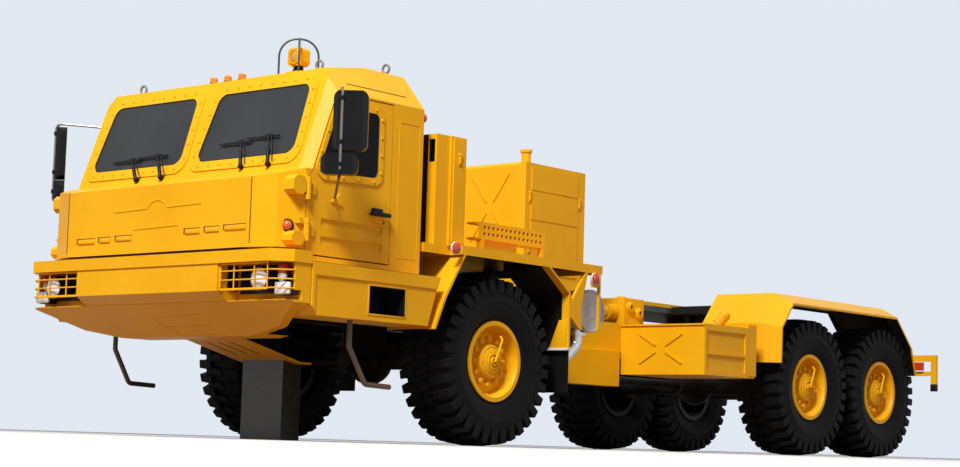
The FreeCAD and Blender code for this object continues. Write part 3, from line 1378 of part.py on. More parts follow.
PUMP_FOOT = 3.0
pump = box("pump_block", (-14, 14), (front(344), front(376)), (rail_top, 148))
pump_motor = rod("pump_motor", 8, (0, front(330), 134), 16, "y")
pump_feet = box("pump_feet", (-rail_outside, rail_outside), (front(350), front(370)),
                (rail_top, rail_top + PUMP_FOOT))
node(fuse("pump_solid", pump, pump_motor, pump_feet), "hydraulic_pump")


# ---------------------------------------------------------------- side boxes, coupling and fenders

box_top = driving("box_top")
box_bottom = driving("box_bottom")
BOX_AHEAD = 191.0           # first rear axle to the box's front
box_front_y = bogie(-BOX_AHEAD)
box_back_y = box_front_y + driving("box_length")
BOX_SET_IN = 10.0
BOX_FRAME = 1.5             # how far the lid and the side frame stand off the box
box_side = half_width - BOX_SET_IN
box_side_out = box_side + BOX_FRAME
side_strips = {
    "top": ((0, 74), (-6.0, -1.5)), "foot": ((0, 74), (-47.0, -43.0)), "middle": ((0, 74), (-28.0, -25.5)),
    "front": ((0, 4), (-47.0, -1.5)), "back": ((69, 74), (-47.0, -1.5)), "flange": ((74, 88), (-45.0, 3.5)),
}
stowage_left = fuse(
    "stowage_left",
    box("stowage_left_block", (rail_outside, box_side), (box_front_y, box_back_y), (box_bottom, box_top)),
    box("stowage_lid", (rail_outside, box_side_out), (box_front_y - BOX_FRAME, box_back_y),
        (box_top - BOX_FRAME, box_top)),
    *[box(f"stowage_strip_{name}", (box_side - 1, box_side_out), (box_front_y + y[0], box_front_y + y[1]),
          (box_top + z[0], box_top + z[1])) for name, (y, z) in side_strips.items()],
    *cross_ribs("stowage_rib", "y", (box_side - 47.4, box_top - 22.7), (5.7, 3), (24, 13.8),
                box_front_y - RIB_PROUD, box_front_y + 1),
)
node(group("stowage_pair", stowage_left, mirrored("stowage_right", stowage_left)), "stowage_boxes")

coupling_top = driving("coupling_top")
coupling_y = bogie(bogie_spread / 2 - 12)
COUPLING_PLATE = 8.0
coupling_plan = [
    (-44, coupling_y - 40, 6), (44, coupling_y - 40), (48, coupling_y + 26), (30, coupling_y + 52),
    (14, coupling_y + 52), (6, coupling_y + 14), (-6, coupling_y + 14), (-14, coupling_y + 52),
    (-30, coupling_y + 52), (-48, coupling_y + 26),
]
coupling_sheet = prism("coupling_sheet", "z", coupling_plan, coupling_top - COUPLING_PLATE, coupling_top)
pin_hole = rod("coupling_hole", driving("kingpin_slot"), (0, coupling_y, coupling_top - COUPLING_PLATE - 1),
               COUPLING_PLATE + 2)
coupling_feet = [
    prism(f"coupling_foot_{side_name}", "x", [
        (coupling_y - 24, rail_top), (coupling_y + 30, rail_top), (coupling_y + 14, coupling_top - 7),
        (coupling_y - 8, coupling_top - 7),
    ], side * 36 - 4, side * 36 + 4)
    for side_name, side in SIDES.items()
]
node(fuse("coupling_solid", cut("coupling_plate", coupling_sheet, pin_hole), *coupling_feet), "fifth_wheel")

fender_top = driving("fender_top")
fender_inside = driving("fender_inside")
FENDER_BEVEL = 20.0         # the sheet's outer edge is folded over this width
FENDER_DROP = 10.0          # and falls by this much, all round the arch
FENDER_SHEET = 2.0
FENDER_AHEAD = 14.5         # tyre to the fender's front wall
FENDER_BEHIND = 4.0
FENDER_FOOT = 88.0
FENDER_STRIP = 4.0          # width of the inner wall's edge strip
fender_front = bogie(-tyre_radius - FENDER_AHEAD)
fender_back = bogie(bogie_spread + tyre_radius + FENDER_BEHIND)
fender_side = [
    (fender_front - 0.5, 70), (fender_back + 6, 70), (fender_back - 12, 122), (fender_back - 50, fender_top),
    (fender_front + 27, fender_top), (fender_front + 1, 126),
]


def fender_volume(label, skin, reach):
    """Inside of the fender's folded sheet, moved inward by a skin thickness. The folded edge is
    drawn to a reach, in widths of the fold."""
    fold = half_width - FENDER_BEVEL
    return fuse(
        f"{label}_volume",
        prism(f"{label}_flat", "x", inset(fender_side, skin), fender_inside + skin, fold),
        tapered(f"{label}_fold", "x", inset(fender_side, skin), fold,
                inset(fender_side, skin + FENDER_DROP * reach), fold + FENDER_BEVEL * reach),
    )


fender_mouths = [
    box("fender_open_bottom", (fender_inside - 1, half_width + 2), (fender_front - 5, fender_back + 9),
        (65, FENDER_FOOT)),
    prism("fender_open_inside", "x", inset(fender_side, FENDER_STRIP), fender_inside - 1,
          fender_inside + FENDER_SHEET + 1),
]
fender_sheet = cut("fender_sheet", fender_volume("fender", 0, 1),
                   fender_volume("fender_room", FENDER_SHEET, 1.1), *fender_mouths)
fender_stays = [
    box(f"fender_stay_{index}", (rail_outside, fender_inside + 1), (y - 4, y + 4), (106, 114))
    for index, y in enumerate((fender_front + 5.0, fender_back - 12))
]
fender_left = fuse("fender_left_solid", fender_sheet, *fender_stays)
node(group("fender_pair", fender_left, mirrored("fender_right_solid", fender_left)), "rear_fenders")

TAIL_HALF = 124.0
tail_bars = [
    box("tail_beam", (-TAIL_HALF, TAIL_HALF), (tail_y - plate, tail_y), (108, 115)),
    box("tail_plate", (-rail_outside, rail_outside), (tail_y - plate, tail_y), (rail_bottom, rail_top)),
]
for side_name, side in SIDES.items():
    post_across = (TAIL_HALF - 7, TAIL_HALF) if side > 0 else (-TAIL_HALF, -TAIL_HALF + 7)
    bar_across = (rail_outside, TAIL_HALF - 7) if side > 0 else (-TAIL_HALF + 7, -rail_outside)
    tail_bars.append(box(f"tail_post_{side_name}", post_across, (tail_y - plate, tail_y), (80, 115)))
    tail_bars.append(box(f"tail_low_{side_name}", bar_across, (tail_y - plate, tail_y), (92, 97)))
node(fuse("tail_solid", *tail_bars), "tail_frame")
tail_lamps = [
    box(f"tail_lamp_{side_name}", (side * 100 - 9, side * 100 + 9), (tail_y - plate - 4, tail_y - plate),
        (98, 107))
    for side_name, side in SIDES.items()
]
node(group("marker_lamp_set", *side_lamps, *tail_lamps, *red_lamps, *cab_domes), "marker_lamps")


# ---------------------------------------------------------------- checks and files

doc.recompute()
for thing in doc.Objects:
    if {"Invalid", "Error"} & set(thing.State):
        raise RuntimeError(f"{thing.Name} did not rebuild: {thing.State}")
for thing in nodes:
    if thing.Shape.isNull() or not thing.Shape.isValid() or not thing.Shape.Solids:
        raise RuntimeError(f"{thing.Label} has no sound solid")

os.makedirs("parts", exist_ok=True)
for thing in nodes:
    thing.Shape.exportStep(f"parts/{thing.Label}.step")
    print(thing.Label, len(thing.Shape.Solids), round(thing.Shape.Volume, 1))
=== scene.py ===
# %% [markdown]
# # A display model of an off-road tractor truck
# The truck's folded sheet bodywork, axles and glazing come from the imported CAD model. This lesson
# adds what a model maker adds last: tyre treads, wheel nuts, window screws, grilles, lamp lenses,
# stamped ribs and latches, and then the paint, rubber, steel and glass finishes.
# Lengths on the truck are in millimetres and are turned into Blender's metres by MM. The lamps and
# the camera are placed in metres.

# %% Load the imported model
import math

import bpy
from mathutils import Matrix, Vector


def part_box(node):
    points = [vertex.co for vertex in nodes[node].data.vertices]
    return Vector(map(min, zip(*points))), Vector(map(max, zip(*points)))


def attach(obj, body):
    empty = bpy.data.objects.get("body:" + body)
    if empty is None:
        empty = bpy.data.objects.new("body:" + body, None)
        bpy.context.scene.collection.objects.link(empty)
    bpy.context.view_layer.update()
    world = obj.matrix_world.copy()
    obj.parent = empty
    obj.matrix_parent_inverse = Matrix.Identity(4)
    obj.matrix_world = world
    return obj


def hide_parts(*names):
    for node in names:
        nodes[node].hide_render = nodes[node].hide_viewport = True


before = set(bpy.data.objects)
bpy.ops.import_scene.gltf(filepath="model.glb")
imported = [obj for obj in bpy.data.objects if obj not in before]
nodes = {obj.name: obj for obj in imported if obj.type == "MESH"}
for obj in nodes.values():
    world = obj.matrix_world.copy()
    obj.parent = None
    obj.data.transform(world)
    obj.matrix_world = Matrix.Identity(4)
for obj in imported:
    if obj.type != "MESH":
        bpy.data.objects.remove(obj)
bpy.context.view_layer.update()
MM = 0.001

# %% [markdown]
# ## Stations on the truck
# Positions are taken from the CAD pieces, so the details stay on them if the truck is resized. The
# front axle is the tyre's middle, and most places are given as a distance behind it.

# %% Stations
def corners(node):
    """Lowest and highest corner of a CAD node, in millimetres."""
    return [Vector(corner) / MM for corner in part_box(node)]


def middle(node):
    low, high = corners(node)
    return (low + high) / 2


FRONT_AXLE = middle("tyre_front_left")
HALF_WIDTH = corners("step_boxes")[1].x
BUMPER_FACE = corners("front_bumper")[0].y
CAB_NOSE = corners("cab_shell")[0].y
DOOR_FACE = corners("cab_roof")[1].x
CAB_BACK = corners("cab_roof")[1].y
SIDES = {"left": 1, "right": -1}
WHEELS = [(axle, side) for axle in ("front", "middle", "rear") for side in ("left", "right")]


def front(distance):
    """Station a distance behind the front axle."""
    return FRONT_AXLE.y + distance


print("front axle at", FRONT_AXLE[:], "door face at", round(DOOR_FACE, 1))

# %% [markdown]
# ## A few hand tools
# Each new piece starts as a primitive and is shaped in edit mode. Everything is deselected first,
# because an operator works on all that is selected. A finished piece sits at the origin with its
# place in its mesh, so the tools apply the location and turn at once.

# %% Tools: start, select, move
def ready():
    """Leaves edit mode and deselects everything."""
    if bpy.context.object and bpy.context.object.mode != "OBJECT":
        bpy.ops.object.mode_set(mode="OBJECT")
    bpy.ops.object.select_all(action="DESELECT")


def hold(piece):
    """Makes one piece the active and the only selected one."""
    ready()
    bpy.context.view_layer.objects.active = piece
    piece.select_set(True)


def edit(piece):
    """Enters edit mode on one piece, with all of it selected."""
    hold(piece)
    bpy.ops.object.mode_set(mode="EDIT")
    bpy.ops.mesh.select_all(action="SELECT")


def mark(piece, part, wanted):
    """Selects the polygons or the vertices of a mesh for which wanted(it) is true, and nothing else."""
    for kind in ("polygons", "edges", "vertices"):
        for item in getattr(piece.data, kind):
            item.select = kind == part and bool(wanted(item))


def pick(piece, wanted):
    """Selects the faces of a piece in edit mode for which wanted(face) is true."""
    bpy.ops.object.mode_set(mode="OBJECT")
    mark(piece, "polygons", wanted)
    bpy.ops.object.mode_set(mode="EDIT")
    bpy.ops.mesh.select_mode(type="FACE")


def pull(piece, wanted, shift):
    """Moves the corners of a piece for which wanted(corner place in mm) is true."""
    hold(piece)
    mark(piece, "vertices", lambda corner: wanted(corner.co / MM))
    bpy.ops.object.mode_set(mode="EDIT")
    bpy.ops.mesh.select_mode(type="VERT")
    bpy.ops.transform.translate(value=Vector(shift) * MM)
    ready()


# %% [markdown]
# Most details start as a box or a round bar. Their edges are rounded over a little, because a sharp
# edge catches no light and looks cut from paper.

# %% Tools: block and rod
def block(low, high, bevel=0.4, segments=2):
    """A box between two corners, with its edges rounded over."""
    ready()
    size = [abs(h - l) * MM for l, h in zip(low, high)]
    place = [(l + h) / 2 * MM for l, h in zip(low, high)]
    bpy.ops.mesh.primitive_cube_add(size=1, location=place, scale=size)
    bpy.ops.object.transform_apply(location=True, rotation=True, scale=True)
    piece = bpy.context.object
    edit(piece)
    bpy.ops.mesh.bevel(offset=min(bevel * MM, min(size) * 0.4), segments=segments, affect="EDGES")
    ready()
    return piece


def rod(start, end, radius, sides=20, bevel=0.3):
    """A round bar between two points, with both rims rounded over."""
    ready()
    start, end = Vector(start) * MM, Vector(end) * MM
    turn = (end - start).to_track_quat("Z", "Y").to_euler()
    bpy.ops.mesh.primitive_cylinder_add(vertices=sides, radius=radius * MM, depth=(end - start).length,
                                        location=(start + end) / 2, rotation=turn)
    bpy.ops.object.transform_apply(location=True, rotation=True, scale=True)
    piece = bpy.context.object
    edit(piece)
    pick(piece, lambda face: len(face.vertices) == sides)
    bpy.ops.mesh.bevel(offset=min(bevel, radius * 0.4) * MM, segments=2, affect="EDGES")
    ready()
    return piece


# %% [markdown]
# Much of the trim is turned: lamp lenses, hub rings and pipe flanges. A half section is drawn as a
# row of points and spun once round its axis, and the start and end of the turn are merged.

# %% Tools: turned pieces
def new_object(name, data):
    """An object for a mesh, a curve, a lamp or a camera, put into the scene."""
    thing = bpy.data.objects.new(name, data)
    bpy.context.scene.collection.objects.link(thing)
    return thing


def spun(profile, centre, axis=(1, 0, 0), steps=96):
    """A closed solid: (distance along the axis, radius) points spun once round the axis."""
    ready()
    axis = Vector(axis).normalized()
    beside = Vector((0, 0, 1)) if abs(axis.z) < 0.9 else Vector((1, 0, 0))
    beside = (beside - axis * beside.dot(axis)).normalized()
    points = [(Vector(centre) + axis * along + beside * radius) * MM for along, radius in profile]
    shape = bpy.data.meshes.new("profile")
    shape.from_pydata(points, [(i, i + 1) for i in range(len(points) - 1)], [])
    piece = new_object("spun", shape)
    edit(piece)
    bpy.ops.mesh.spin(steps=steps, angle=2 * math.pi, center=Vector(centre) * MM, axis=axis)
    bpy.ops.mesh.select_all(action="SELECT")
    bpy.ops.mesh.remove_doubles(threshold=0.01 * MM)
    bpy.ops.mesh.normals_make_consistent(inside=False)
    ready()
    return piece


def dome(centre, axis, radius, height, skirt=0.0, steps=32):
    """A lens: a spun quarter ellipse on a short straight skirt."""
    turns = [math.radians(15 * step) for step in range(6)]
    rise = [(skirt + height * math.sin(turn), radius * math.cos(turn)) for turn in turns]
    return spun([(0, 0), (0, radius)] + rise + [(skirt + height, 0)], centre, axis, steps)


# %% [markdown]
# A bent wire or pipe is a curve given a round section, then turned into a mesh. A smooth curve leaves
# a corner early, so every corner gets a neighbour on either side, and the runs between stay straight.

# %% Tools: wires and pipes
def wire(points, radius, sides=3, cyclic=False, bend=0.0):
    """A round wire along a list of points. With a bend, a corner is a smooth curve instead."""
    ready()
    line = bpy.data.curves.new("wire", "CURVE")
    line.dimensions = "3D"
    line.bevel_depth = radius * MM
    line.bevel_resolution = sides
    line.use_fill_caps = not cyclic
    path = line.splines.new("NURBS" if bend else "POLY")
    path.points.add(len(points) - 1)
    for spot, point in zip(path.points, points):
        spot.co = (*(Vector(point) * MM), 1)
    path.use_cyclic_u = cyclic
    if bend:
        path.order_u = 3
        path.use_endpoint_u = not cyclic
        path.resolution_u = 6
    hold(new_object("wire", line))
    bpy.ops.object.convert(target="MESH")
    return bpy.context.object


# How far before a corner its curve starts, in bend radii, and the most of a run it may take
CORNER_REACH, MOST_OF_RUN = 2.34, 0.45


def bent(points, bend, cyclic=False):
    """Points for a smooth wire with straight runs between its corners."""
    points = [Vector(point) for point in points]
    path = []
    for index, corner in enumerate(points):
        if not cyclic and index in (0, len(points) - 1):
            path.append(corner)
            continue
        runs = [points[index - 1] - corner, points[(index + 1) % len(points)] - corner]
        before, after = (corner + run.normalized() * min(CORNER_REACH * bend, run.length * MOST_OF_RUN)
                         for run in runs)
        path += [before, corner, after]
    return path


# %% [markdown]
# Many details repeat, so one is made and copied. A copy is given its own mesh, and a mirrored copy
# has its faces flipped back, because a mirror turns it inside out.

# %% Tools: copies and joining
def copy_of(piece, change):
    """A copy with its own mesh, moved by a matrix. A mirrored copy is turned right side out."""
    twin = piece.copy()
    twin.data = piece.data.copy()
    twin.data.transform(change)
    if change.determinant() < 0:
        twin.data.flip_normals()
    bpy.context.scene.collection.objects.link(twin)
    return twin


MIRROR = Matrix.Scale(-1, 4, (1, 0, 0))


def moved(x=0.0, y=0.0, z=0.0):
    """A plain move, in millimetres."""
    return Matrix.Translation(Vector((x, y, z)) * MM)


def with_mirror(pieces):
    """The pieces and their mirrored copies for the truck's other side."""
    return pieces + [copy_of(piece, MIRROR) for piece in pieces]


def planted(piece, place, normal):
    """A copy of a small fitting, made upright at the origin, set on a face with this normal."""
    turn = Vector(normal).to_track_quat("Z", "Y").to_matrix().to_4x4()
    return copy_of(piece, Matrix.Translation(Vector(place) * MM) @ turn)


def discard(*pieces):
    """Takes away the patterns that copies were made from."""
    for piece in pieces:
        bpy.data.objects.remove(piece)


# %% [markdown]
# Pieces of one finish are joined under one name. The result rides on the CAD body that it moves
# with, so a screw on a door swings with the door.

# %% Tools: joining and finishing
def joined(pieces):
    """Joins pieces into the first of them."""
    ready()
    for piece in pieces:
        piece.select_set(True)
    bpy.context.view_layer.objects.active = pieces[0]
    if len(pieces) > 1:
        bpy.ops.object.join()
    return bpy.context.object


def finish(name, pieces, material, body="chassis", angle=35):
    """Joins pieces of one finish into a named piece that rides on a CAD body."""
    piece = joined(pieces)
    piece.name = name
    piece.data.name = name
    piece.data.materials.clear()
    piece.data.materials.append(material)
    hold(piece)
    bpy.ops.object.shade_smooth_by_angle(angle=math.radians(angle))
    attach(piece, body)
    faces = sum(len(face.vertices) - 2 for face in piece.data.polygons)
    print(f"{name}: {faces} triangles on {body}")
    return piece


# %% [markdown]
# ## Finishes
# A finish is a tree of shader nodes. One helper makes every node and fills its inputs, and a few
# short ones name the kinds that are used most.

# %% Shader helpers
def new_group(name, inputs, outputs):
    """A shader node group with number inputs and outputs, and its two end nodes."""
    tree = bpy.data.node_groups.new(name, "ShaderNodeTree")
    for label, value in inputs:
        socket = tree.interface.new_socket(label, in_out="INPUT", socket_type="NodeSocketFloat")
        socket.default_value = value
    for label in outputs:
        tree.interface.new_socket(label, in_out="OUTPUT", socket_type="NodeSocketFloat")
    return tree, tree.nodes.new("NodeGroupInput"), tree.nodes.new("NodeGroupOutput")


def new_node(tree, kind, values=(), **settings):
    """A shader node with its settings, and with its inputs filled by index or label. A value is a
    number, a colour of three numbers or another node's output. Gives the node's outputs."""
    node = tree.nodes.new("ShaderNode" + kind)
    for name, setting in settings.items():
        setattr(node, name, setting)
    for key, value in dict(values).items():
        if isinstance(value, (int, float)):
            node.inputs[key].default_value = value
        elif isinstance(value, tuple):
            node.inputs[key].default_value = (*value, 1.0)
        else:
            tree.links.new(value, node.inputs[key])
    return node.outputs


def noise(tree, where, scale, detail=4.0, roughness=0.55):
    """A Noise Texture read at a place."""
    return new_node(tree, "TexNoise", {"Vector": where, "Scale": scale, "Detail": detail,
                                       "Roughness": roughness})["Fac"]


def spread(tree, value, low, high, out_low=0.0, out_high=1.0):
    """Map Range: the part of a value between low and high, stretched over an output range."""
    return new_node(tree, "MapRange", enumerate((value, low, high, out_low, out_high)))["Result"]


def maths(tree, operation, first, second=0.0, *others):
    """A Math node. With more than two values, one node follows another."""
    result = new_node(tree, "Math", {0: first, 1: second}, operation=operation)[0]
    return maths(tree, operation, result, *others) if others else result


def object_place(tree):
    """A place on the piece itself, in metres, which stays the same when the piece moves."""
    return new_node(tree, "TexCoord")["Object"]


def axes(tree, vector):
    """The X, Y and Z of a vector."""
    return new_node(tree, "SeparateXYZ", {0: vector})


# %% [markdown]
# One effect is shared by almost every finish: a surface is never quite even. The group below mixes
# a large, soft patchiness with a fine grain. It gives a mask for colour, one for roughness and a
# height for a Bump node. It reads Object coordinates, so it stays put on a piece that moves.

# %% Shader group: uneven surface
uneven, uneven_in, uneven_out = new_group(
    "uneven_surface", [("Patch Scale", 14.0), ("Grain Scale", 900.0)], ["Patches", "Grain", "Height"])
spot = object_place(uneven)
patches = noise(uneven, spot, uneven_in.outputs["Patch Scale"], detail=5.0, roughness=0.6)
grain = noise(uneven, spot, uneven_in.outputs["Grain Scale"], detail=2.0, roughness=0.5)
soft_patches = maths(uneven, "MULTIPLY", patches, 0.35)
uneven.links.new(spread(uneven, patches, 0.3, 0.7), uneven_out.inputs["Patches"])
uneven.links.new(spread(uneven, grain, 0.25, 0.75), uneven_out.inputs["Grain"])
uneven.links.new(maths(uneven, "ADD", soft_patches, grain), uneven_out.inputs["Height"])
print("group", uneven.name)

# %% [markdown]
# Fine dust settles on whatever faces up and leaves the sides clean. The Geometry node's Normal tells
# which way a face looks, and a noise breaks the dust's edge up.

# %% Shader group: settled dust
def facing(tree):
    """The direction a face looks, in X, Y and Z."""
    return axes(tree, new_node(tree, "NewGeometry")["Normal"])


dust, dust_in, dust_out = new_group("settled_dust", [("Amount", 0.3)], ["Mask"])
upward = spread(dust, facing(dust)["Z"], 0.35, 0.95)
speckle = spread(dust, noise(dust, object_place(dust), 160.0, detail=6.0, roughness=0.7), 0.35, 0.75)
dust.links.new(maths(dust, "MULTIPLY", upward, speckle, dust_in.outputs["Amount"]), dust_out.inputs["Mask"])
print("group", dust.name)

# %% [markdown]
# The underside of the bodywork and the faces inside the wheel arches get black painted shade. A
# group works out which faces those are from the way they look and from where they stand.

# %% Shader group: painted shade underneath
under, under_in, under_out = new_group(
    "underbody_shade_mask", [("Axle", 0.0), ("Inner Edge", 0.0), ("Down Edge", 1.0)], ["Mask"])
looks, stands = facing(under), axes(under, object_place(under))
to_axle = maths(under, "SUBTRACT", under_in.outputs["Axle"], stands["Y"])
outward = maths(under, "MULTIPLY", looks["X"], maths(under, "SIGN", stands["X"]))
from_middle = maths(under, "ABSOLUTE", stands["X"])
inboard = maths(under, "LESS_THAN", from_middle, under_in.outputs["Inner Edge"])
down_zone = maths(under, "LESS_THAN", from_middle, under_in.outputs["Down Edge"])
down = maths(under, "MULTIPLY", spread(under, looks["Z"], -0.25, -0.55), down_zone)
inner_wall = maths(under, "MULTIPLY", spread(under, outward, 0.5, 0.8), inboard)
towards_axle = spread(under, maths(under, "MULTIPLY", to_axle, looks["Y"]), 0.005, 0.012)
in_arch = maths(under, "MULTIPLY", towards_axle, inboard)
under.links.new(maths(under, "MAXIMUM", down, inner_wall, in_arch), under_out.inputs["Mask"])
print("group", under.name)

# %% [markdown]
# A finish is a Principled shader whose colour and roughness drift with the uneven surface, with a
# Bump node for the grain. Numbers that are the same all over are set on the shader's own sockets.
# The maker below builds one finish from its two colours, its roughness range and its bump.

# %% A maker of finishes
GRAIN_DEPTH = 0.4 * MM
DUST_COLOUR = (0.42, 0.38, 0.32)


def colour_mix(tree, factor, first, second):
    """A colour between two others. A factor of 0 gives the first and 1 gives the second."""
    return new_node(tree, "Mix", {0: factor, 6: first, 7: second}, data_type="RGBA")[2]


def add_relief(material, height, strength, distance):
    """Puts a Bump node before a finish's shader, after any Bump node that it has already."""
    tree = material.node_tree
    socket = tree.nodes["Principled BSDF"].inputs["Normal"]
    values = {"Strength": strength, "Distance": distance, "Height": height}
    if socket.is_linked:
        values["Normal"] = socket.links[0].from_socket
    tree.links.new(new_node(tree, "Bump", values)["Normal"], socket)


def lay_over(material, mask, colour):
    """Lays a colour over a finish wherever a mask is 1."""
    tree = material.node_tree
    socket = tree.nodes["Principled BSDF"].inputs["Base Color"]
    tree.links.new(colour_mix(tree, mask, socket.links[0].from_socket, colour), socket)
    return material


def new_finish(name, dark, light, rough, bump=0.1, patch_scale=14.0, grain_scale=900.0, dusty=0.0,
               **sockets):
    """A material with patches between two colours, a roughness range and a grain bump."""
    material = bpy.data.materials.new(name)
    material.use_nodes = True
    tree = material.node_tree
    shader = tree.nodes["Principled BSDF"]
    scales = {"Patch Scale": patch_scale, "Grain Scale": grain_scale}
    surface = new_node(tree, "Group", scales, node_tree=uneven)
    tree.links.new(colour_mix(tree, surface["Patches"], dark, light), shader.inputs["Base Color"])
    tree.links.new(spread(tree, surface["Grain"], 0.0, 1.0, *rough), shader.inputs["Roughness"])
    if dusty:
        film = new_node(tree, "Group", {"Amount": dusty}, node_tree=dust)
        lay_over(material, film["Mask"], DUST_COLOUR)
    add_relief(material, surface["Height"], bump, GRAIN_DEPTH)
    for socket, value in sockets.items():
        shader.inputs[socket.replace("_", " ")].default_value = value
    return material


# %% [markdown]
# ### The finishes of this truck
# The bodywork is sprayed in a warm, deep yellow with a soft satin sheen and a faint orange-peel
# grain. Its shine is kept weak, because a white reflection would wash the yellow out. Where the
# underbody mask says so, the deck, the front arches and the rear fenders get black painted shade.

# %% Bodywork
PAINT_DARK, PAINT_LIGHT = (0.82, 0.405, 0.005), (0.90, 0.475, 0.009)
PAINT = dict(dark=PAINT_DARK, light=PAINT_LIGHT, rough=(0.34, 0.46), bump=0.14, dusty=0.03,
             Specular_IOR_Level=0.14)
# Black painted shade, laid where the truck is in deep shade
PAINTED_SHADE = (0.012, 0.010, 0.008)
EVERYWHERE = 1000.0
yellow = new_finish("yellow_paint", **PAINT)
# The shaded paint is painted shade: a dark finish for louvre shadows, seam lines and port mouths
shaded_paint = new_finish("shaded_paint", (0.13, 0.050, 0.003), (0.20, 0.080, 0.004), (0.5, 0.65))


def with_painted_shade(name, axle, inner_edge, down_edge=EVERYWHERE):
    """The yellow paint with black painted shade underneath. The edges are distances from the truck's middle.
    """
    material = new_finish(name, **PAINT)
    edges = {"Axle": axle * MM, "Inner Edge": inner_edge * MM, "Down Edge": down_edge * MM}
    mask = new_node(material.node_tree, "Group", edges, node_tree=under)["Mask"]
    return lay_over(material, mask, PAINTED_SHADE)


# The deck, the front arches and the rear fenders get black painted shade underneath
deck_paint = with_painted_shade("deck_paint", FRONT_AXLE.y, 60.0)
arch_paint = with_painted_shade("arch_paint", FRONT_AXLE.y, HALF_WIDTH - 7.5, HALF_WIDTH - 7.5)
fender_paint = with_painted_shade("fender_paint", middle("rear_fenders").y, HALF_WIDTH - 1.5)
print("bodywork:", PAINT_DARK, "to", PAINT_LIGHT)

# %% [markdown]
# The trim is moulded plastic, plain rubber, bare or painted steel, and grey acrylic for the block
# under the nose. Metals get a high Metallic, and soft rubber gets a rough, weak shine.

# %% Rubber, plastic and steel
# Black plastic also serves as black painted shade at the backs of the lamp bays and in recesses
black = new_finish("black_plastic", (0.005, 0.005, 0.006), (0.012, 0.012, 0.013), (0.35, 0.55),
                   bump=0.2, dusty=0.02, Specular_IOR_Level=0.2)
gloss_black = new_finish("gloss_black", (0.004, 0.004, 0.005), (0.009, 0.009, 0.010), (0.12, 0.22),
                         bump=0.06, Specular_IOR_Level=0.16)
seat_plastic = new_finish("moulded_seat", (0.015, 0.015, 0.016), (0.03, 0.03, 0.032), (0.55, 0.75),
                          bump=0.5, grain_scale=1500.0)
# Flap rubber also serves as black painted shade in the arches, in the gap under the nose and behind holes
flap_rubber_and_shade = new_finish("flap_rubber_and_shade", (0.003, 0.003, 0.003), (0.007, 0.007, 0.007), (0.6, 0.8),
                         bump=0.3, Specular_IOR_Level=0.1)
white_plastic = new_finish("white_plastic", (0.62, 0.62, 0.60), (0.72, 0.72, 0.71), (0.3, 0.42),
                           bump=0.08)
dark_steel = new_finish("dark_steel", (0.005, 0.0045, 0.004), (0.012, 0.011, 0.010), (0.5, 0.7),
                        bump=0.3, Metallic=0.2, Specular_IOR_Level=0.2)
bright_steel = new_finish("bright_steel", (0.50, 0.48, 0.46), (0.66, 0.64, 0.62), (0.22, 0.36),
                          Metallic=1.0)
rod_steel = new_finish("rod_steel", (0.15, 0.14, 0.12), (0.25, 0.235, 0.205), (0.28, 0.42),
                       bump=0.12, Metallic=0.7)
guard_wire = new_finish("guard_wire", (0.05, 0.05, 0.052), (0.09, 0.09, 0.092), (0.35, 0.5),
                        bump=0.15, Metallic=0.6)
bronze_rod = new_finish("painted_rod", (0.030, 0.020, 0.013), (0.13, 0.075, 0.035), (0.3, 0.5),
                        bump=0.2, Metallic=0.4)
grey_acrylic = new_finish("grey_acrylic", (0.030, 0.028, 0.020), (0.040, 0.038, 0.028), (0.22, 0.34),
                          bump=0.06)
grey_paint = new_finish("grey_paint", (0.54, 0.57, 0.62), (0.62, 0.65, 0.70), (0.3, 0.45),
                        bump=0.15, dusty=0.12)
print("trim:", len(bpy.data.materials), "finishes so far")

# %% [markdown]
# The glazing is a dark matt film on plastic, so it is opaque and only faintly shiny. The coloured
# lenses let a part of the light through.

# %% Glass and lenses
screen_film = new_finish("smoked_screen", (0.024, 0.026, 0.029), (0.036, 0.038, 0.042), (0.42, 0.54),
                         bump=0.12, grain_scale=2400.0, Specular_IOR_Level=0.2)
door_film = new_finish("smoked_side_glass", (0.003, 0.003, 0.004), (0.006, 0.006, 0.007), (0.12, 0.2),
                       bump=0.03, Specular_IOR_Level=0.08)
mirror_face = new_finish("mirror_face", (0.62, 0.64, 0.66), (0.70, 0.72, 0.74), (0.03, 0.08),
                         bump=0.02, Metallic=1.0)
LENS = dict(rough=(0.08, 0.16), bump=0.15, grain_scale=500.0, Transmission_Weight=0.25)
YELLOW_LENS = {**LENS, "rough": (0.06, 0.14)}
red_lens = new_finish("red_lens", (0.62, 0.045, 0.008), (0.80, 0.10, 0.02), **LENS)
amber_lens = new_finish("amber_lens", (0.70, 0.22, 0.008), (0.80, 0.30, 0.014), **LENS)
orange_lens = new_finish("orange_lens", (0.74, 0.13, 0.008), (0.84, 0.18, 0.012), **LENS)
yellow_glass = new_finish("yellow_glass", (0.62, 0.36, 0.03), (0.80, 0.50, 0.06), **YELLOW_LENS)
print("glass:", len(bpy.data.materials), "finishes so far")

# %% [markdown]
# The clear lenses are ribbed up and down. The ribs are a wave in the Height of a second Bump node.

# %% Ribbed clear lens
RIB_PITCH, RIB_DEPTH = 1.6 * MM, 0.2 * MM
clear_lens = new_finish("clear_lens", (0.86, 0.87, 0.88), (0.94, 0.95, 0.96), (0.05, 0.12), bump=0.2,
                        grain_scale=420.0, Transmission_Weight=0.06)
tree = clear_lens.node_tree
across = axes(tree, object_place(tree))["X"]
flutes = maths(tree, "SINE", maths(tree, "MULTIPLY", across, 2 * math.pi / RIB_PITCH))
add_relief(clear_lens, flutes, 0.3, RIB_DEPTH)
print("ribs every", RIB_PITCH / MM, "mm")
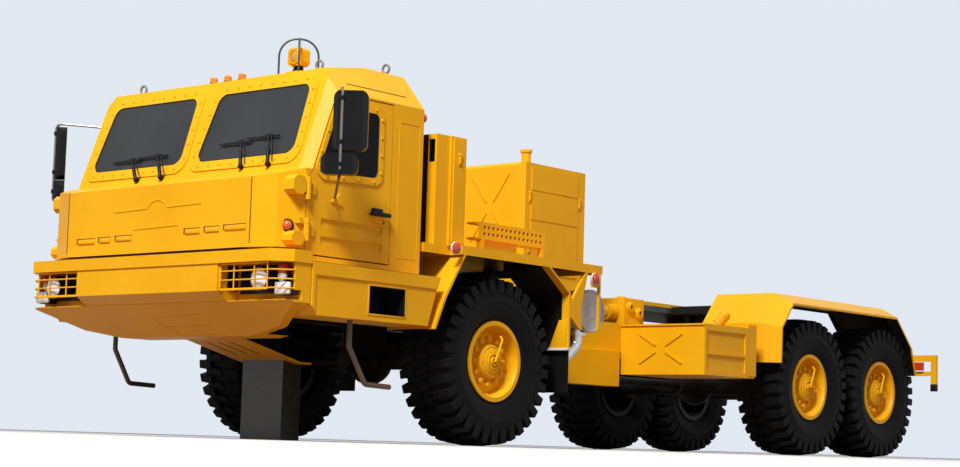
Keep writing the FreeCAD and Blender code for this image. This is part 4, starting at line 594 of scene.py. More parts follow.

# %% [markdown]
# Some CAD nodes need two colours. The roof's lifting eyes are steel and its lamps amber. The small
# lamps are red but for the indicator on the cab's cheek. The inner half of each rim, the inner front
# of each intake tower and the front of the frame get black painted shade. A second colour is laid
# over the first wherever every place test holds.

# %% Finishes chosen by place
def add_zone(material, colour, *tests):
    """Lays a colour over a finish where all (axis, comparison, limit in mm) tests hold. X is counted
    from the middle of the truck, so both sides are alike."""
    tree = material.node_tree
    place = axes(tree, object_place(tree))
    mask = 1.0
    for axis, comparison, limit in tests:
        value = maths(tree, "ABSOLUTE", place["X"]) if axis == "X" else place[axis]
        mask = maths(tree, "MULTIPLY", maths(tree, comparison, value, limit * MM), mask)
    return lay_over(material, mask, colour)


AMBER, EYE_STEEL = (0.72, 0.24, 0.010), (0.20, 0.20, 0.205)
roof_finish = add_zone(new_finish("roof_fittings_finish", AMBER, (0.80, 0.30, 0.014), (0.25, 0.4)),
                       EYE_STEEL, ("X", "GREATER_THAN", 40.0))
red_lamp = new_finish("marker_lamp_finish", (0.50, 0.035, 0.010), (0.62, 0.05, 0.014), (0.08, 0.16))
lamp_finish = add_zone(red_lamp, AMBER, ("Y", "LESS_THAN", CAB_NOSE + 30), ("Z", "GREATER_THAN", 140.0))
# Painted shade: black on each rim's inner half, the inner front of each intake tower and the frame's front
rim_finish = add_zone(new_finish("rim_paint", **PAINT), PAINTED_SHADE, ("X", "LESS_THAN", FRONT_AXLE.x + 8.0))
intake_finish = add_zone(new_finish("intake_paint", **PAINT), PAINTED_SHADE, ("X", "LESS_THAN", 125.0),
                         ("Y", "LESS_THAN", front(-73.5)))
frame_finish = add_zone(new_finish("frame_paint", **PAINT), PAINTED_SHADE, ("Y", "LESS_THAN", front(118.0)))
print("zones:", len(bpy.data.materials), "finishes so far")

# %% [markdown]
# Tyre rubber also has fine radial ribs on its side walls. They follow the tyre, so they read the
# piece's own UV map, where U runs once round the wheel and V runs across the tyre.

# %% Tyre rubber
RIBS_ROUND, RIB_GREY = 64, (0.15, 0.15, 0.155)
tyre_rubber = new_finish("tyre_rubber", (0.0022, 0.0022, 0.0025), (0.0045, 0.0045, 0.005), (0.55, 0.78),
                         bump=0.35, patch_scale=30.0, dusty=0.01, Specular_IOR_Level=0.10)
tree = tyre_rubber.node_tree
around = axes(tree, new_node(tree, "UVMap")["UV"])
rib_wave = maths(tree, "SINE", maths(tree, "MULTIPLY", around["X"], 2 * math.pi * RIBS_ROUND))
side_only = spread(tree, around["Y"], 0.90, 0.97)
ribs = maths(tree, "MULTIPLY", spread(tree, rib_wave, 0.94, 0.99), side_only)
add_relief(tyre_rubber, ribs, 0.8, 0.6 * MM)
# The rib crests are laid over with a lighter grey, in patches
rib_patches = spread(tree, noise(tree, object_place(tree), 70.0), 0.40, 0.62)
lay_over(tyre_rubber, maths(tree, "MULTIPLY", ribs, rib_patches), RIB_GREY)
print("tyre rubber:", RIBS_ROUND, "ribs")

# %% [markdown]
# The CAD model names its finishes by slots.

# %% [markdown]
# ### Finishes for the CAD nodes
# Most nodes keep their CAD shape and only take a finish. The lists say which.

# %% Paint the CAD nodes
NODE_FINISH = {
    "windscreen": screen_film, "door_glass_left": door_film, "door_glass_right": door_film,
    "mirror_left": gloss_black, "mirror_right": gloss_black, "wipers": black, "seats": seat_plastic,
    "dashboard": black, "steering_wheel": black, "mud_flaps": flap_rubber_and_shade, "fifth_wheel": dark_steel,
    "leaf_springs": dark_steel, "drive_line": dark_steel, "front_axle": dark_steel,
    "middle_axle": dark_steel, "rear_axle": dark_steel, "knuckle_left": dark_steel,
    "knuckle_right": dark_steel, "searchlight_guard": guard_wire, "exhaust_outlet": bright_steel,
    "access_steps": bronze_rod, "support_block": grey_acrylic, "muffler": grey_paint,
    "front_lamps": clear_lens, "marker_lamps": lamp_finish, "roof_fittings": roof_finish,
    "air_intakes": intake_finish, "ladder_frame": frame_finish, "deck": deck_paint,
    "wheel_arches": arch_paint, "rear_fenders": fender_paint,
    **{f"rim_{axle}_{side}": rim_finish for axle, side in WHEELS},
}
for name, node in nodes.items():
    node.data.materials.clear()
    node.data.materials.append(NODE_FINISH.get(name, yellow))
print(len(nodes), "CAD nodes painted")

# %% [markdown]
# ## Tyres
# A real off-road tyre is a moulded casing with rows of rubber blocks. The casing here is a profile
# spun round the wheel's axis. One block of each row is shaped from a cube and copied round it, so
# the tread costs little. The shoulder blocks reach down the side wall, as on the real tyre.

# %% Tyre casing
HUB = FRONT_AXLE.copy()
TYRE_RADIUS = FRONT_AXLE.z
TYRE_HALF = (corners("tyre_front_left")[1].x - corners("tyre_front_left")[0].x) / 2
TREAD_DEPTH = 3.6
CASING = [
    (0.0, TYRE_RADIUS - TREAD_DEPTH), (12.0, TYRE_RADIUS - TREAD_DEPTH - 0.3),
    (18.5, TYRE_RADIUS - TREAD_DEPTH - 1.6), (22.0, TYRE_RADIUS - 8.5), (23.6, TYRE_RADIUS - 14.0),
    (23.9, TYRE_RADIUS - 18.5), (24.3, TYRE_RADIUS - 19.0), (24.3, TYRE_RADIUS - 20.2),
    (23.8, TYRE_RADIUS - 20.8), (22.9, 41.0), (21.4, 37.6), (20.2, 36.2), (19.6, 34.6), (19.0, 33.4),
    (18.7, 31.8), (18.4, 30.4), (0.0, 30.2),
]


casing_profile = [(-a, r) for a, r in reversed(CASING[1:])] + CASING
casing = spun(casing_profile + [casing_profile[0]], HUB)
print("casing:", len(casing.data.polygons), "faces")

# %% [markdown]
# One shoulder block: a cube whose outer end is pulled down over the tyre's shoulder by moving the
# outer, lower vertices. A middle block is shorter and sits between two shoulder blocks.

# %% Tread blocks
BLOCKS_ROUND = 34
TOP_GAP = 0.15      # a block stays this far inside the tyre's radius
ROOT_DEPTH = 1.2    # and reaches this far into the casing
FIRST_DROP = 0.22   # the part of its drop that a shoulder block's whole outer end takes


def about(centre, turn):
    """A turn made about a centre in millimetres instead of the origin."""
    return Matrix.Translation(centre * MM) @ turn @ Matrix.Translation(-centre * MM)


def round_hub(pattern, count, start=0.0):
    """Copies of a fitting, evenly round the wheel's axis. Start is counted in steps between copies."""
    angles = [(index + start) * 2 * math.pi / count for index in range(count)]
    return [copy_of(pattern, about(HUB, Matrix.Rotation(angle, 4, "X"))) for angle in angles]


def tread_block(inner, outer, width, skew, drop):
    """A rubber block on the top of the tyre from an inner to an outer axial station."""
    top = HUB.z + TYRE_RADIUS - TOP_GAP
    piece = block((HUB.x + inner, HUB.y - width / 2, top - TREAD_DEPTH - ROOT_DEPTH),
                  (HUB.x + outer, HUB.y + width / 2, top), bevel=0.5, segments=1)
    outer_end, lower_half = HUB.x + outer - 1.0, top - drop * FIRST_DROP - TREAD_DEPTH / 2
    pull(piece, lambda spot: spot.x > outer_end, (0, skew, -drop * FIRST_DROP))
    pull(piece, lambda spot: spot.x > outer_end and spot.z < lower_half, (0.6, 0, -drop * (1 - FIRST_DROP)))
    return piece


shoulder = tread_block(7.5, TYRE_HALF - 0.9, 7.0, 1.6, 8.5)
far_shoulder = copy_of(shoulder, about(HUB, Matrix.Rotation(math.pi, 4, "Z")))
centre_block = tread_block(-6.0, 6.2, 5.4, 2.4, 0.0)
tread = (round_hub(shoulder, BLOCKS_ROUND) + round_hub(far_shoulder, BLOCKS_ROUND, 0.5)
         + round_hub(centre_block, BLOCKS_ROUND, 0.5))
discard(shoulder, far_shoulder, centre_block)
tyre_master = joined([casing] + tread)
print("tyre:", len(tyre_master.data.polygons), "faces")

# %% [markdown]
# The UV map is laid by hand: U is the angle round the hub, and V is how far a point is from the
# middle plane. Where the angle jumps from one half turn to minus one half, a face would stretch over
# the whole map, so its corners are brought to the side of its first corner.

# %% Tyre UV map
def wrap_uv(piece, centre):
    """Wraps a UV map round the wheel's axis."""
    layer = piece.data.uv_layers.new(name="around")
    for face in piece.data.polygons:
        spots = [piece.data.vertices[piece.data.loops[i].vertex_index].co / MM - centre
                 for i in face.loop_indices]
        angles = [math.atan2(spot.y, spot.z) / (2 * math.pi) for spot in spots]
        for index, spot, angle in zip(face.loop_indices, spots, angles):
            layer.data[index].uv = (angle - round(angle - angles[0]), abs(spot.x) / TYRE_HALF)


wrap_uv(tyre_master, HUB)
print("UV map:", tyre_master.data.uv_layers[0].name)

# %% [markdown]
# The other five tyres are copies moved to their hubs, and mirrored for the right side. Each stands
# in for the plain tyre of the CAD model.

# %% The six tyres
def to_wheel(axle, side):
    """The change that takes the front left wheel's place to another wheel's."""
    move = moved(0, middle(f"tyre_{axle}_{side}").y - HUB.y, 0)
    return move if side == "left" else move @ MIRROR


for axle, side in WHEELS:
    tyre = finish(f"treaded_tyre_{axle}_{side}", [copy_of(tyre_master, to_wheel(axle, side))],
                  tyre_rubber, f"wheel_{axle}_{side}", angle=28)
    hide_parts(f"tyre_{axle}_{side}")
discard(tyre_master)

# %% [markdown]
# ## Wheel nuts, hub rings and inflation pipes
# Round the hub stands a ring of domed nuts, and on the hub a stack of turned rings. A thin pipe
# leads from the hub to the rim: it feeds air to the tyre. All of it is made once, on the front left
# wheel, and copied.

# %% Hub fittings
NUT_RING, NUT_FACE = 18.2, 11.0
BOLT_RING, BOLT_FACE = 11.5, 15.8
HUB_DISC = [(NUT_FACE, 0), (NUT_FACE, 13.6), (15.8, 13.6), (16.6, 12.8), (16.6, 10.6), (16.0, 10.2),
            (16.0, 8.8), (17.6, 8.6), (18.2, 8.0), (18.2, 0)]
RINGS = ((12.4, 16.2, 17.2), (6.6, 17.8, 19.0), (3.4, 18.0, 20.0))
PIPE_RUN = ((18.0, 0, 0), (20.8, 0, 0), (20.6, 8.2, 17.5), (17.6, 9.4, 20.5), (12.0, 9.4, 20.5))


def hub_spot(out, up):
    """A place above the hub, by its distance outward along the axle and from the axle."""
    return HUB + Vector((out, 0, up))


nut = rod(hub_spot(NUT_FACE - 0.5, NUT_RING), hub_spot(NUT_FACE + 3.8, NUT_RING), 2.5, sides=10, bevel=0.8)
cap_bolt = rod(hub_spot(BOLT_FACE, BOLT_RING), hub_spot(BOLT_FACE + 1.8, BOLT_RING), 0.8, sides=6)
hub_parts = round_hub(nut, 12) + [spun(HUB_DISC, HUB, steps=48)] + round_hub(cap_bolt, 6, 0.5)
discard(nut, cap_bolt)
for radius, low, high in RINGS:
    hub_parts.append(spun([(low, radius - 1.0), (low, radius), (high - 0.4, radius), (high, radius - 0.4),
                           (high, radius - 1.0), (low, radius - 1.0)], HUB, steps=40))
masters = {"hub_fittings": joined(hub_parts),
           "inflation_pipe": wire(bent([HUB + Vector(spot) for spot in PIPE_RUN], 1.2), 0.95, bend=1)}
for axle, side in WHEELS:
    for name, master in masters.items():
        finish(f"{name}_{axle}_{side}", [copy_of(master, to_wheel(axle, side))], yellow,
               f"wheel_{axle}_{side}")
discard(*masters.values())

# %% [markdown]
# ## Screws round the windows
# The windscreen panes and the door windows sit in bolted frames. One domed screw is made and planted
# along the middle of each frame, with the frame's slope as its upright. The outline of a pane is
# moved outward by half the frame's width to find that middle.

# %% Outlines of the panes
SCREEN_LOW, SCREEN_HIGH = corners("windscreen")
FOOT_BACK, FOOT_Z = 25.4, 196.0     # the screen's foot: behind the nose, and above the floor
SCREEN_RUN, SCREEN_RISE = 29.1, 79.7
LEAN = SCREEN_RUN / SCREEN_RISE
FRAME_PROUD = 1.0
SCREEN_NORMAL = Vector((0, -1, LEAN)).normalized()


def on_screen(x, z, proud=0.0):
    """A place on the sloping windscreen face, or a little in front of it."""
    return Vector((x, CAB_NOSE + FOOT_BACK + (z - FOOT_Z) * LEAN, z)) + SCREEN_NORMAL * proud


def widened(outline, amount):
    """The outline, drawn anticlockwise, moved outward by an amount."""
    spots = [Vector(spot) for spot in outline]
    moved_out = []
    for index, spot in enumerate(spots):
        before = (spot - spots[index - 1]).normalized()
        after = (spots[(index + 1) % len(spots)] - spot).normalized()
        first, second = Vector((before.y, -before.x)), Vector((after.y, -after.x))
        moved_out.append(spot + (first + second) * amount / (1 + first.dot(second)))
    return moved_out


def spaced(outline, pitch, corner_gap):
    """Evenly spaced places along each side of an outline, clear of its rounded corners."""
    places = []
    for index, spot in enumerate(outline):
        run = outline[(index + 1) % len(outline)] - spot
        count = max(1, round((run.length - 2 * corner_gap) / pitch))
        for step in range(count + 1):
            reach = corner_gap + (run.length - 2 * corner_gap) * step / count
            places.append(spot + run.normalized() * reach)
    return places


pane = [(9.0, SCREEN_LOW.z), (SCREEN_HIGH.x + 0.6, SCREEN_LOW.z), (SCREEN_HIGH.x - 3.4, SCREEN_HIGH.z),
        (13.0, SCREEN_HIGH.z)]
glass_low, glass_high = corners("door_glass_left")
door_pane = [(glass_low.y + 1.0, glass_low.z), (glass_high.y, glass_low.z + 1.6),
             (glass_high.y, glass_high.z), (glass_low.y + 15.5, glass_high.z),
             (glass_low.y, glass_low.z + 8.0)]
print("pane corners:", pane)

# %% [markdown]
# Each screw is a short rod with a rounded rim. The doors' screws ride on the doors, so they swing
# with them.

# %% Screws
SCREEN_MIDLINE, DOOR_MIDLINE = 3.9, 2.8     # from the edge of the glass to the middle of its frame
screw = rod((0, 0, -0.3), (0, 0, 0.75), 1.15, sides=10, bevel=0.45)
finish("screen_screws", [planted(screw, on_screen(side * place.x, place.y, FRAME_PROUD), SCREEN_NORMAL)
                         for place in spaced(widened(pane, SCREEN_MIDLINE), 12.0, 9.0)
                         for side in (1, -1)], yellow)
door_spots = spaced(widened(door_pane, DOOR_MIDLINE), 14.5, 7.0)
for side_name, side in SIDES.items():
    finish(f"door_window_screws_{side_name}",
           [planted(screw, (side * (DOOR_FACE + FRAME_PROUD), spot.x, spot.y), (side, 0, 0))
            for spot in door_spots], yellow, f"door_{side_name}")
discard(screw)

# %% [markdown]
# A thin black rubber seal runs round each pane. It is a wire bent round the pane's outline, half
# sunk in the joint between glass and frame.

# %% Window seals
def seal(places, bend):
    """A rubber seal along the corners of a pane."""
    return wire(bent(places, bend, cyclic=True), 0.8, sides=2, cyclic=True, bend=1)


finish("screen_seals", [seal([on_screen(side * x, z) for x, z in pane], 7.0) for side in (1, -1)], black)
for side_name, side in SIDES.items():
    finish(f"door_window_seal_{side_name}", [seal([(side * DOOR_FACE, y, z) for y, z in door_pane], 5.0)],
           black, f"door_{side_name}")

# %% [markdown]
# ## Stamped lines of the nose and cab
# The nose is one pressing with raised lines, a row of small louvres and a seam near each end. On the
# model these are beads about half a millimetre high: thin wires half sunk in the sheet.

# %% Nose beads
def beads(name, runs, radius, material=yellow, cyclic=False):
    """Stamped lines: thin wires half sunk in the sheet."""
    return finish(name, [wire(run, radius, sides=2, cyclic=cyclic) for run in runs], material)


BADGE_CENTRE, BADGE_RADIUS = Vector((2.0, CAB_NOSE, 163.0)), 14.0
arch = [BADGE_CENTRE + Vector((math.cos(turn), 0, math.sin(turn))) * BADGE_RADIUS
        for turn in (math.radians(145 - 10 * step) for step in range(12))]
upper_line = [(-48, CAB_NOSE, 164), (-48.5, CAB_NOSE, 170)] + arch + [(51, CAB_NOSE, 172)]
step_line = [(x, CAB_NOSE, z) for x, z in ((-25, 151.5), (-25, 155.6), (27.5, 156.8), (27.5, 153))]
beads("nose_beads", [upper_line, step_line], 0.55)

# %% [markdown]
# A louvre is a lip under a narrow painted shadow. The shadows, the shade in the seams near the nose's
# ends and in the gap under it are thin blocks let into the sheet, in a dark painted-shade finish.

# %% Louvres and seams
LOUVRES = ((-92, -70, 147.0), (-66, -51, 147.3), (-46, -26, 147.7), (33, 51, 149.6), (55, 72, 150.0),
           (76, 100, 150.4))
LOUVRE_HEIGHT, SEAM_X = 4.4, 104.0


def nose_plate(left, right, low, high, proud, sunk, bevel):
    """A block on the nose between two x, from a little in front of its face to a little behind."""
    return block((left, CAB_NOSE - proud, low), (right, CAB_NOSE + sunk, high), bevel=bevel)


lips, shades = [], []
for left, right, low in LOUVRES:
    high = low + LOUVRE_HEIGHT
    lips.append(nose_plate(left + 2.2, right, low, high - 0.9, 1.1, 0.4, 0.5))
    shades.append(nose_plate(left, right, high - 1.0, high, 0.25, 0.4, 0.1))
    shades.append(nose_plate(left, left + 2.3, low + 0.2, high - 0.2, 0.25, 0.4, 0.1))
for x in (SEAM_X, -SEAM_X):
    shades.append(nose_plate(x - 0.35, x + 0.35, 140, 188.4, 0.1, 1.2, 0.05))
finish("nose_louvre_lips", lips, yellow)
finish("nose_shadow_lines", shades, shaded_paint)
# A black strip paints the shadow in the gap under the nose
finish("nose_gap_shadow", [nose_plate(-118.0, 98.0, 134.4, 136.1, 0.25, 1.5, 0.1)], flap_rubber_and_shade)

# %% [markdown]
# Behind each door the cab's side has a raised frame, and the roof has a seam along each edge, drawn
# as a dark line of painted shade. A weld crosses the belly behind the bumper.

# %% Cab side, roof and belly lines
PANEL_LINE = ((-118, 140), (-95, 140), (-95, 243.5), (-118, 243.5))
ROOF_SEAM_X, ROOF_SEAM_Z = DOOR_FACE - 6.2, 265
beads("belly_weld", [[(x, BUMPER_FACE + 12, 99) for x in (-140, 140)]], 0.5)
beads("cab_side_beads", [[(side * DOOR_FACE, front(back), z) for back, z in PANEL_LINE] for side in (1, -1)],
      0.35, cyclic=True)
# The roof seams are dark lines of painted shade
beads("roof_seam_shade_lines", [[(side * ROOF_SEAM_X, front(back), ROOF_SEAM_Z) for back in (-172, -106)]
                          for side in (1, -1)], 0.42, shaded_paint)

# %% [markdown]
# The belly has a hatch with three raised welds across the slope. Their places are worked out on the
# slope itself, so the beads stay sunk by half.

# %% Belly hatch
BELLY_BACK, BELLY_Z, BELLY_FALL = 3.7, 99.0, 23.0 / 31.3    # where the slope starts, and how it falls
HATCH = (((-16.5, 16.7), (38.2, 14.2)), ((-12.2, 25.3), (43.8, 24.5)), ((-2.2, 34.0), (50.2, 33.0)),
         ((-16.5, 16.7), (-2.2, 34.0)))


def on_belly(x, back):
    """A place on the belly's front slope, by its distance behind the nose."""
    return Vector((x, CAB_NOSE + back, BELLY_Z - (back - BELLY_BACK) * BELLY_FALL))


beads("belly_beads", [[on_belly(*end) for end in run] for run in HATCH], 0.45)

# %% [markdown]
# ## Lamps in the bumper
# Each bay holds a round headlamp with a clear ribbed lens in a black ring, a red dome over a clear
# dome, and a rectangular fog lamp. Folded strips frame the front of the bay, and black plates at its
# back and its inner side paint the shade deep in the bay.

# %% Bay frames and backs
BAY_LEFT, BAY_RIGHT, BAY_LOW, BAY_HIGH = 80.4, 130.2, 105.6, 125.3


def bay_plate(left, right, low, high, near, far, bevel):
    """A block in the lamp bay. Near and far are distances behind the bumper's face."""
    return block((left, BUMPER_FACE + near, low), (right, BUMPER_FACE + far, high), bevel=bevel)


frame_bars = [bay_plate(*edges, 2.1, 3.9, 0.3) for edges in (
    (BAY_LEFT, 82.0, BAY_LOW, BAY_HIGH), (BAY_LEFT, BAY_RIGHT, BAY_HIGH - 1.1, BAY_HIGH),
    (BAY_LEFT, BAY_RIGHT, BAY_LOW, BAY_LOW + 1.0))]
# Black plates paint the shade at the back and the inner side of each bay
bay_shade_backs = [bay_plate(84.0, 133.0, 104.5, 125.0, 20.4, 21.9, 0.2),
         bay_plate(80.1, 80.8, 106.5, 125.0, 11.0, 21.0, 0.2)]
finish("lamp_bay_frames", with_mirror(frame_bars), yellow)
finish("lamp_bay_shade_plates", with_mirror(bay_shade_backs), black)

# %% [markdown]
# The lenses are domes with a short skirt. Each lamp has a black case behind it, which reaches the
# back of the bay. The lenses stand in for the plain lamps of the CAD model.

# %% Headlamps, fog lamps and domes
FORWARD = (0, -1, 0)
BAY_BACK = BUMPER_FACE + 21.0
HEADLAMP = Vector((HALF_WIDTH - 29.9, BUMPER_FACE + 8, 113.8))
DOME_X, LOW_DOME_Z, TOP_DOME_Z = HALF_WIDTH - 13.4, 115.8, 120.7
FOG_LEFT, FOG_RIGHT, FOG_LOW, FOG_HIGH = HALF_WIDTH - 18.0, HALF_WIDTH - 3.2, 102.6, 111.6
CASE = [(0.2, 8.2), (1.0, 8.2), (1.2, 8.5), (1.0, 8.9), (-12.0, 8.9), (-12.8, 6.0), (-12.8, 0),
        (-1.0, 0), (-1.0, 8.2), (0.2, 8.2)]
lens = dome(HEADLAMP + Vector((0, 0.2, 0)), FORWARD, 8.4, 2.6, skirt=0.6)
fog_lens = block((FOG_LEFT, BUMPER_FACE + 10.8, FOG_LOW), (FOG_RIGHT, BUMPER_FACE + 14.0, FOG_HIGH),
                 bevel=1.8, segments=3)
low_dome = dome((DOME_X, BUMPER_FACE + 15.0, LOW_DOME_Z), FORWARD, 4.0, 3.4, skirt=0.5)
lamp_lenses = finish("lamp_lenses", with_mirror([lens, fog_lens, low_dome]), clear_lens)
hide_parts("front_lamps")
top_dome = dome((DOME_X, BUMPER_FACE + 15.2, TOP_DOME_Z), FORWARD, 4.6, 4.2, skirt=0.4)
finish("lamp_red_domes", with_mirror([top_dome]), red_lens)
fog_case = block((FOG_LEFT - 0.3, BUMPER_FACE + 13.4, FOG_LOW - 0.3),
                 (FOG_RIGHT + 0.3, BAY_BACK, FOG_HIGH + 0.2), bevel=1.4, segments=3)
stem = rod((DOME_X, BUMPER_FACE + 14.8, LOW_DOME_Z), (DOME_X, BAY_BACK, LOW_DOME_Z), 3.6)
finish("lamp_cases", with_mirror([spun(CASE, HEADLAMP, FORWARD, steps=40), fog_case, stem]), black)

# %% [markdown]
# The lamps on the deck's edge have a white moulded base and a red domed lens. The indicator on the
# cheek of the cab sits in a black ring. The cab's rear lamps are red domes high on its back, and
# those on the roof are amber with a dark foot.

# %% Small lamps
SIDE_LAMPS = ((-65.0, 151.5), (115.5, 143.0))
CHEEK_OUT, CHEEK_SPOT = Vector((0.62, -0.78, 0)), Vector((128.4, CAB_NOSE + 13.8, 153.2))
ROOF_LAMPS, ROOF_LAMP_Y, ROOF_Z = (-16.2, 0, 16.2), CAB_NOSE + 67, 276.4
side_spots = [Vector((HALF_WIDTH, front(back), z)) for back, z in SIDE_LAMPS]
finish("side_lamp_bases", with_mirror([
    spun([(0, 0), (0, 5.0), (0.9, 5.0), (1.4, 4.6), (1.4, 0)], spot, steps=32) for spot in side_spots]),
    white_plastic)
finish("side_lamp_lenses", with_mirror([
    dome(spot + Vector((1.4, 0, 0)), (1, 0, 0), 4.1, 1.6, skirt=1.0) for spot in side_spots]), red_lens)
finish("indicator_lenses", with_mirror([dome(CHEEK_SPOT, CHEEK_OUT, 3.7, 3.6, skirt=0.6)]), orange_lens)
finish("indicator_rings", with_mirror([
    spun([(-1.0, 3.5), (-1.0, 4.7), (0.9, 4.7), (1.3, 4.2), (1.3, 3.6), (-1.0, 3.5)], CHEEK_SPOT, CHEEK_OUT,
         steps=32)]), black)
finish("cab_rear_lamps", with_mirror([
    dome((130.2, CAB_BACK - 0.5, 251.0), (0, 1, 0), 4.0, 3.6, skirt=2.4)]), red_lens)
finish("roof_lamp_feet", [rod((x, ROOF_LAMP_Y, ROOF_Z), (x, ROOF_LAMP_Y, ROOF_Z + 2.6), 3.5, sides=24,
                              bevel=0.4) for x in ROOF_LAMPS], black)
finish("roof_lamp_lenses", [dome((x, ROOF_LAMP_Y, ROOF_Z + 4.2), (0, 0, 1), 3.1, 2.2, skirt=1.0, steps=24)
                            for x in ROOF_LAMPS], amber_lens)

# %% [markdown]
# ## Wipers, mirrors and door handles
# A wiper has a pivot cap, a short sleeve, a thin sprung arm with a second rod beside it, and a blade
# that is thicker in its middle. The CAD arms are plain bars, so these finer ones take their place.

# %% Wipers
# Each wiper: its root's x and height, how far its top leans sideways, and its top's height
WIPERS = ((-54.0, 198.5, -12.7, 215.5), (-25.0, 198.5, -11.6, 217.0), (64.0, 201.0, -8.0, 221.0),
          (93.0, 201.0, -8.0, 223.5))
BLADE_LEFT, BLADE_RIGHT = -24.0, 11.0
KNEE = 0.6      # where on the arm its thick sleeve ends
wiper_parts = []
for x, low, lean, high in WIPERS:
    top_x, knee = x + lean, low + (high - low) * KNEE
    # From, to (x, height, distance from the glass), radius, sides and bevel of each rod
    for start, end, radius, sides, bevel in (
            ((x, low, -0.5), (x, low, 3.4), 2.1, 20, 0.6),
            ((x, low - 0.5, 2.2), (x + lean * KNEE, knee, 2.6), 1.45, 14, 0.5),
            ((x + lean * (KNEE - 0.05), knee - 1, 2.6), (top_x, high, 3.0), 0.7, 10, 0.3),
            ((x + 3.6, low + 2, 2.0), (top_x + 3.4, high, 3.0), 0.45, 8, 0.3)):
        wiper_parts.append(rod(on_screen(*start), on_screen(*end), radius, sides, bevel))
    top = on_screen(top_x, high, 2.0)
    blade = block(top + Vector((BLADE_LEFT, -0.8, -0.9)), top + Vector((BLADE_RIGHT, 0.8, 0.9)), bevel=0.3)
    for left, right in ((BLADE_LEFT, BLADE_LEFT + 2), (BLADE_RIGHT - 2, BLADE_RIGHT)):
        pull(blade, lambda spot: left - 0.1 < spot.x - top.x < right + 0.1 and spot.z > top.z, (0, 0, -0.6))
    wiper_parts += [blade, block(top + Vector((-3.6, -1.7, -1.3)), top + Vector((3.6, 0.6, 1.3)), bevel=0.5)]
wipers = finish("wiper_arms", wiper_parts, black)
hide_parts("wipers")

# %% [markdown]
# A mirror's arm is a thin steel rod in front of its black housings, bent in at both ends to its
# brackets. The rod's sleeve follows the CAD arm, and small clamps hold the housings to it. Each
# housing has a mirror plate on the side that faces the driver.

# %% Mirror arms and glass
def on_both_doors(sets):
    """Finishes named sets of pieces made on the left door, and their mirrored copies on the right."""
    twins = {name: [copy_of(piece, MIRROR) for piece in pair[0]] for name, pair in sets.items()}
    for side_name in SIDES:
        for name, (pieces, material) in sets.items():
            finish(f"{name}_{side_name}", pieces if side_name == "left" else twins[name], material,
                   f"door_{side_name}")


MIRROR_PLACE = Vector((DOOR_FACE + 31.4, CAB_NOSE + 36.5, 0))
MIRROR_TURN = math.radians(38)
ARM_ROOT = Vector((DOOR_FACE - 2, CAB_NOSE + 57, 0))
ARM_SPOT = MIRROR_PLACE + Matrix.Rotation(MIRROR_TURN, 3, "Z") @ Vector((-6.0, -4.9, 0))
arm_run = [foot + Vector((0, 0, z)) for foot, z in (
    (ARM_ROOT, 251), (ARM_SPOT, 253.5), (ARM_SPOT, 189), (ARM_ROOT, 176))]
sleeve = wire(bent(arm_run, 5.0), 1.05, bend=1)
clamps = [rod(ARM_SPOT + Vector((0, 0, z - 1.6)), ARM_SPOT + Vector((0, 0, z + 1.6)), 1.7)
          for z in (213, 245, 197)]
plates = [block((-11.2, 3.7, 209.0), (11.2, 4.25, 248.6), bevel=0.2),
          block((-19.1, 3.7, 191.5), (5.1, 4.25, 203.0), bevel=0.2)]
for plate in plates:
    plate.data.transform(Matrix.Translation(MIRROR_PLACE * MM) @ Matrix.Rotation(MIRROR_TURN, 4, "Z"))
on_both_doors({"mirror_arm_sleeve": ([sleeve], rod_steel), "mirror_clamps": (clamps, gloss_black),
               "mirror_glass": (plates, mirror_face)})

# %% [markdown]
# A door handle is a grip with a tab over it and a round lock below. It rides on its door.

# %% Door handles
def on_door(out, back, z):
    """A place by its distances out of the door's face and behind the nose."""
    return (DOOR_FACE + out, CAB_NOSE + back, z)


grip = block(on_door(1.2, 91.6, 168.3), on_door(4.9, 111.9, 171.6), bevel=0.8)
tab = block(on_door(0.1, 93.8, 171.0), on_door(3.8, 103.8, 174.3), bevel=0.7)
lock = rod(on_door(0, 107.0, 164.6), on_door(1.2, 107.0, 164.6), 1.3, sides=16)
on_both_doors({"door_handle": ([grip, tab, lock], gloss_black)})

# %% [markdown]
# ## Searchlight
# The lamp head gets a round glass in a bezel on its front, and its neck is a black rubber boot.

# %% Searchlight glass and boot
BEZEL = [(0, 4.6), (1.3, 4.8), (1.5, 5.3), (1.2, 5.9), (0, 6.0), (0, 4.6)]
BOOT = [(0, 0), (0, 4.6), (0.8, 4.8), (1.3, 3.7), (2.0, 4.2), (2.7, 3.5), (3.4, 4.0), (4.0, 3.4), (4.0, 0)]
lamp_low, lamp_high = corners("searchlight")
lamp_axis = (lamp_low + lamp_high) / 2
lamp_face = Vector((lamp_axis.x, lamp_axis.y - 4.4, lamp_high.z - 7.0))
boot_foot = Vector((lamp_axis.x, lamp_axis.y, lamp_high.z - 18.0))
finish("searchlight_glass", [dome(lamp_face, FORWARD, 4.7, 1.4, skirt=0.4)], yellow_glass)
finish("searchlight_bezel", [spun(BEZEL, lamp_face, FORWARD, steps=40)], yellow)
finish("searchlight_boot", [spun(BOOT, boot_foot, (0, 0, 1), steps=32)], black)

# %% [markdown]
# ## Painted shade in recesses
# The step mouth in each side box gets black painted shade inside, and so does the slot in the front
# of each intake tower. Each tray of painted shade is a block whose outer face is taken off. The rest gets a
# wall thickness.

# %% Trays of painted shade
def shade_tray(low, high, outward):
    """A thin open tray of black painted shade that lines a recess. Its open side faces outward."""
    piece = block(low, high, bevel=0.05, segments=1)
    edit(piece)
    pick(piece, lambda face: face.normal.dot(Vector(outward)) > 0.9)
    bpy.ops.mesh.delete(type="FACE")
    hold(piece)
    wall = piece.modifiers.new("wall", "SOLIDIFY")
    wall.thickness = 0.35 * MM
    wall.offset = -1
    bpy.ops.object.modifier_apply(modifier="wall")
    return piece


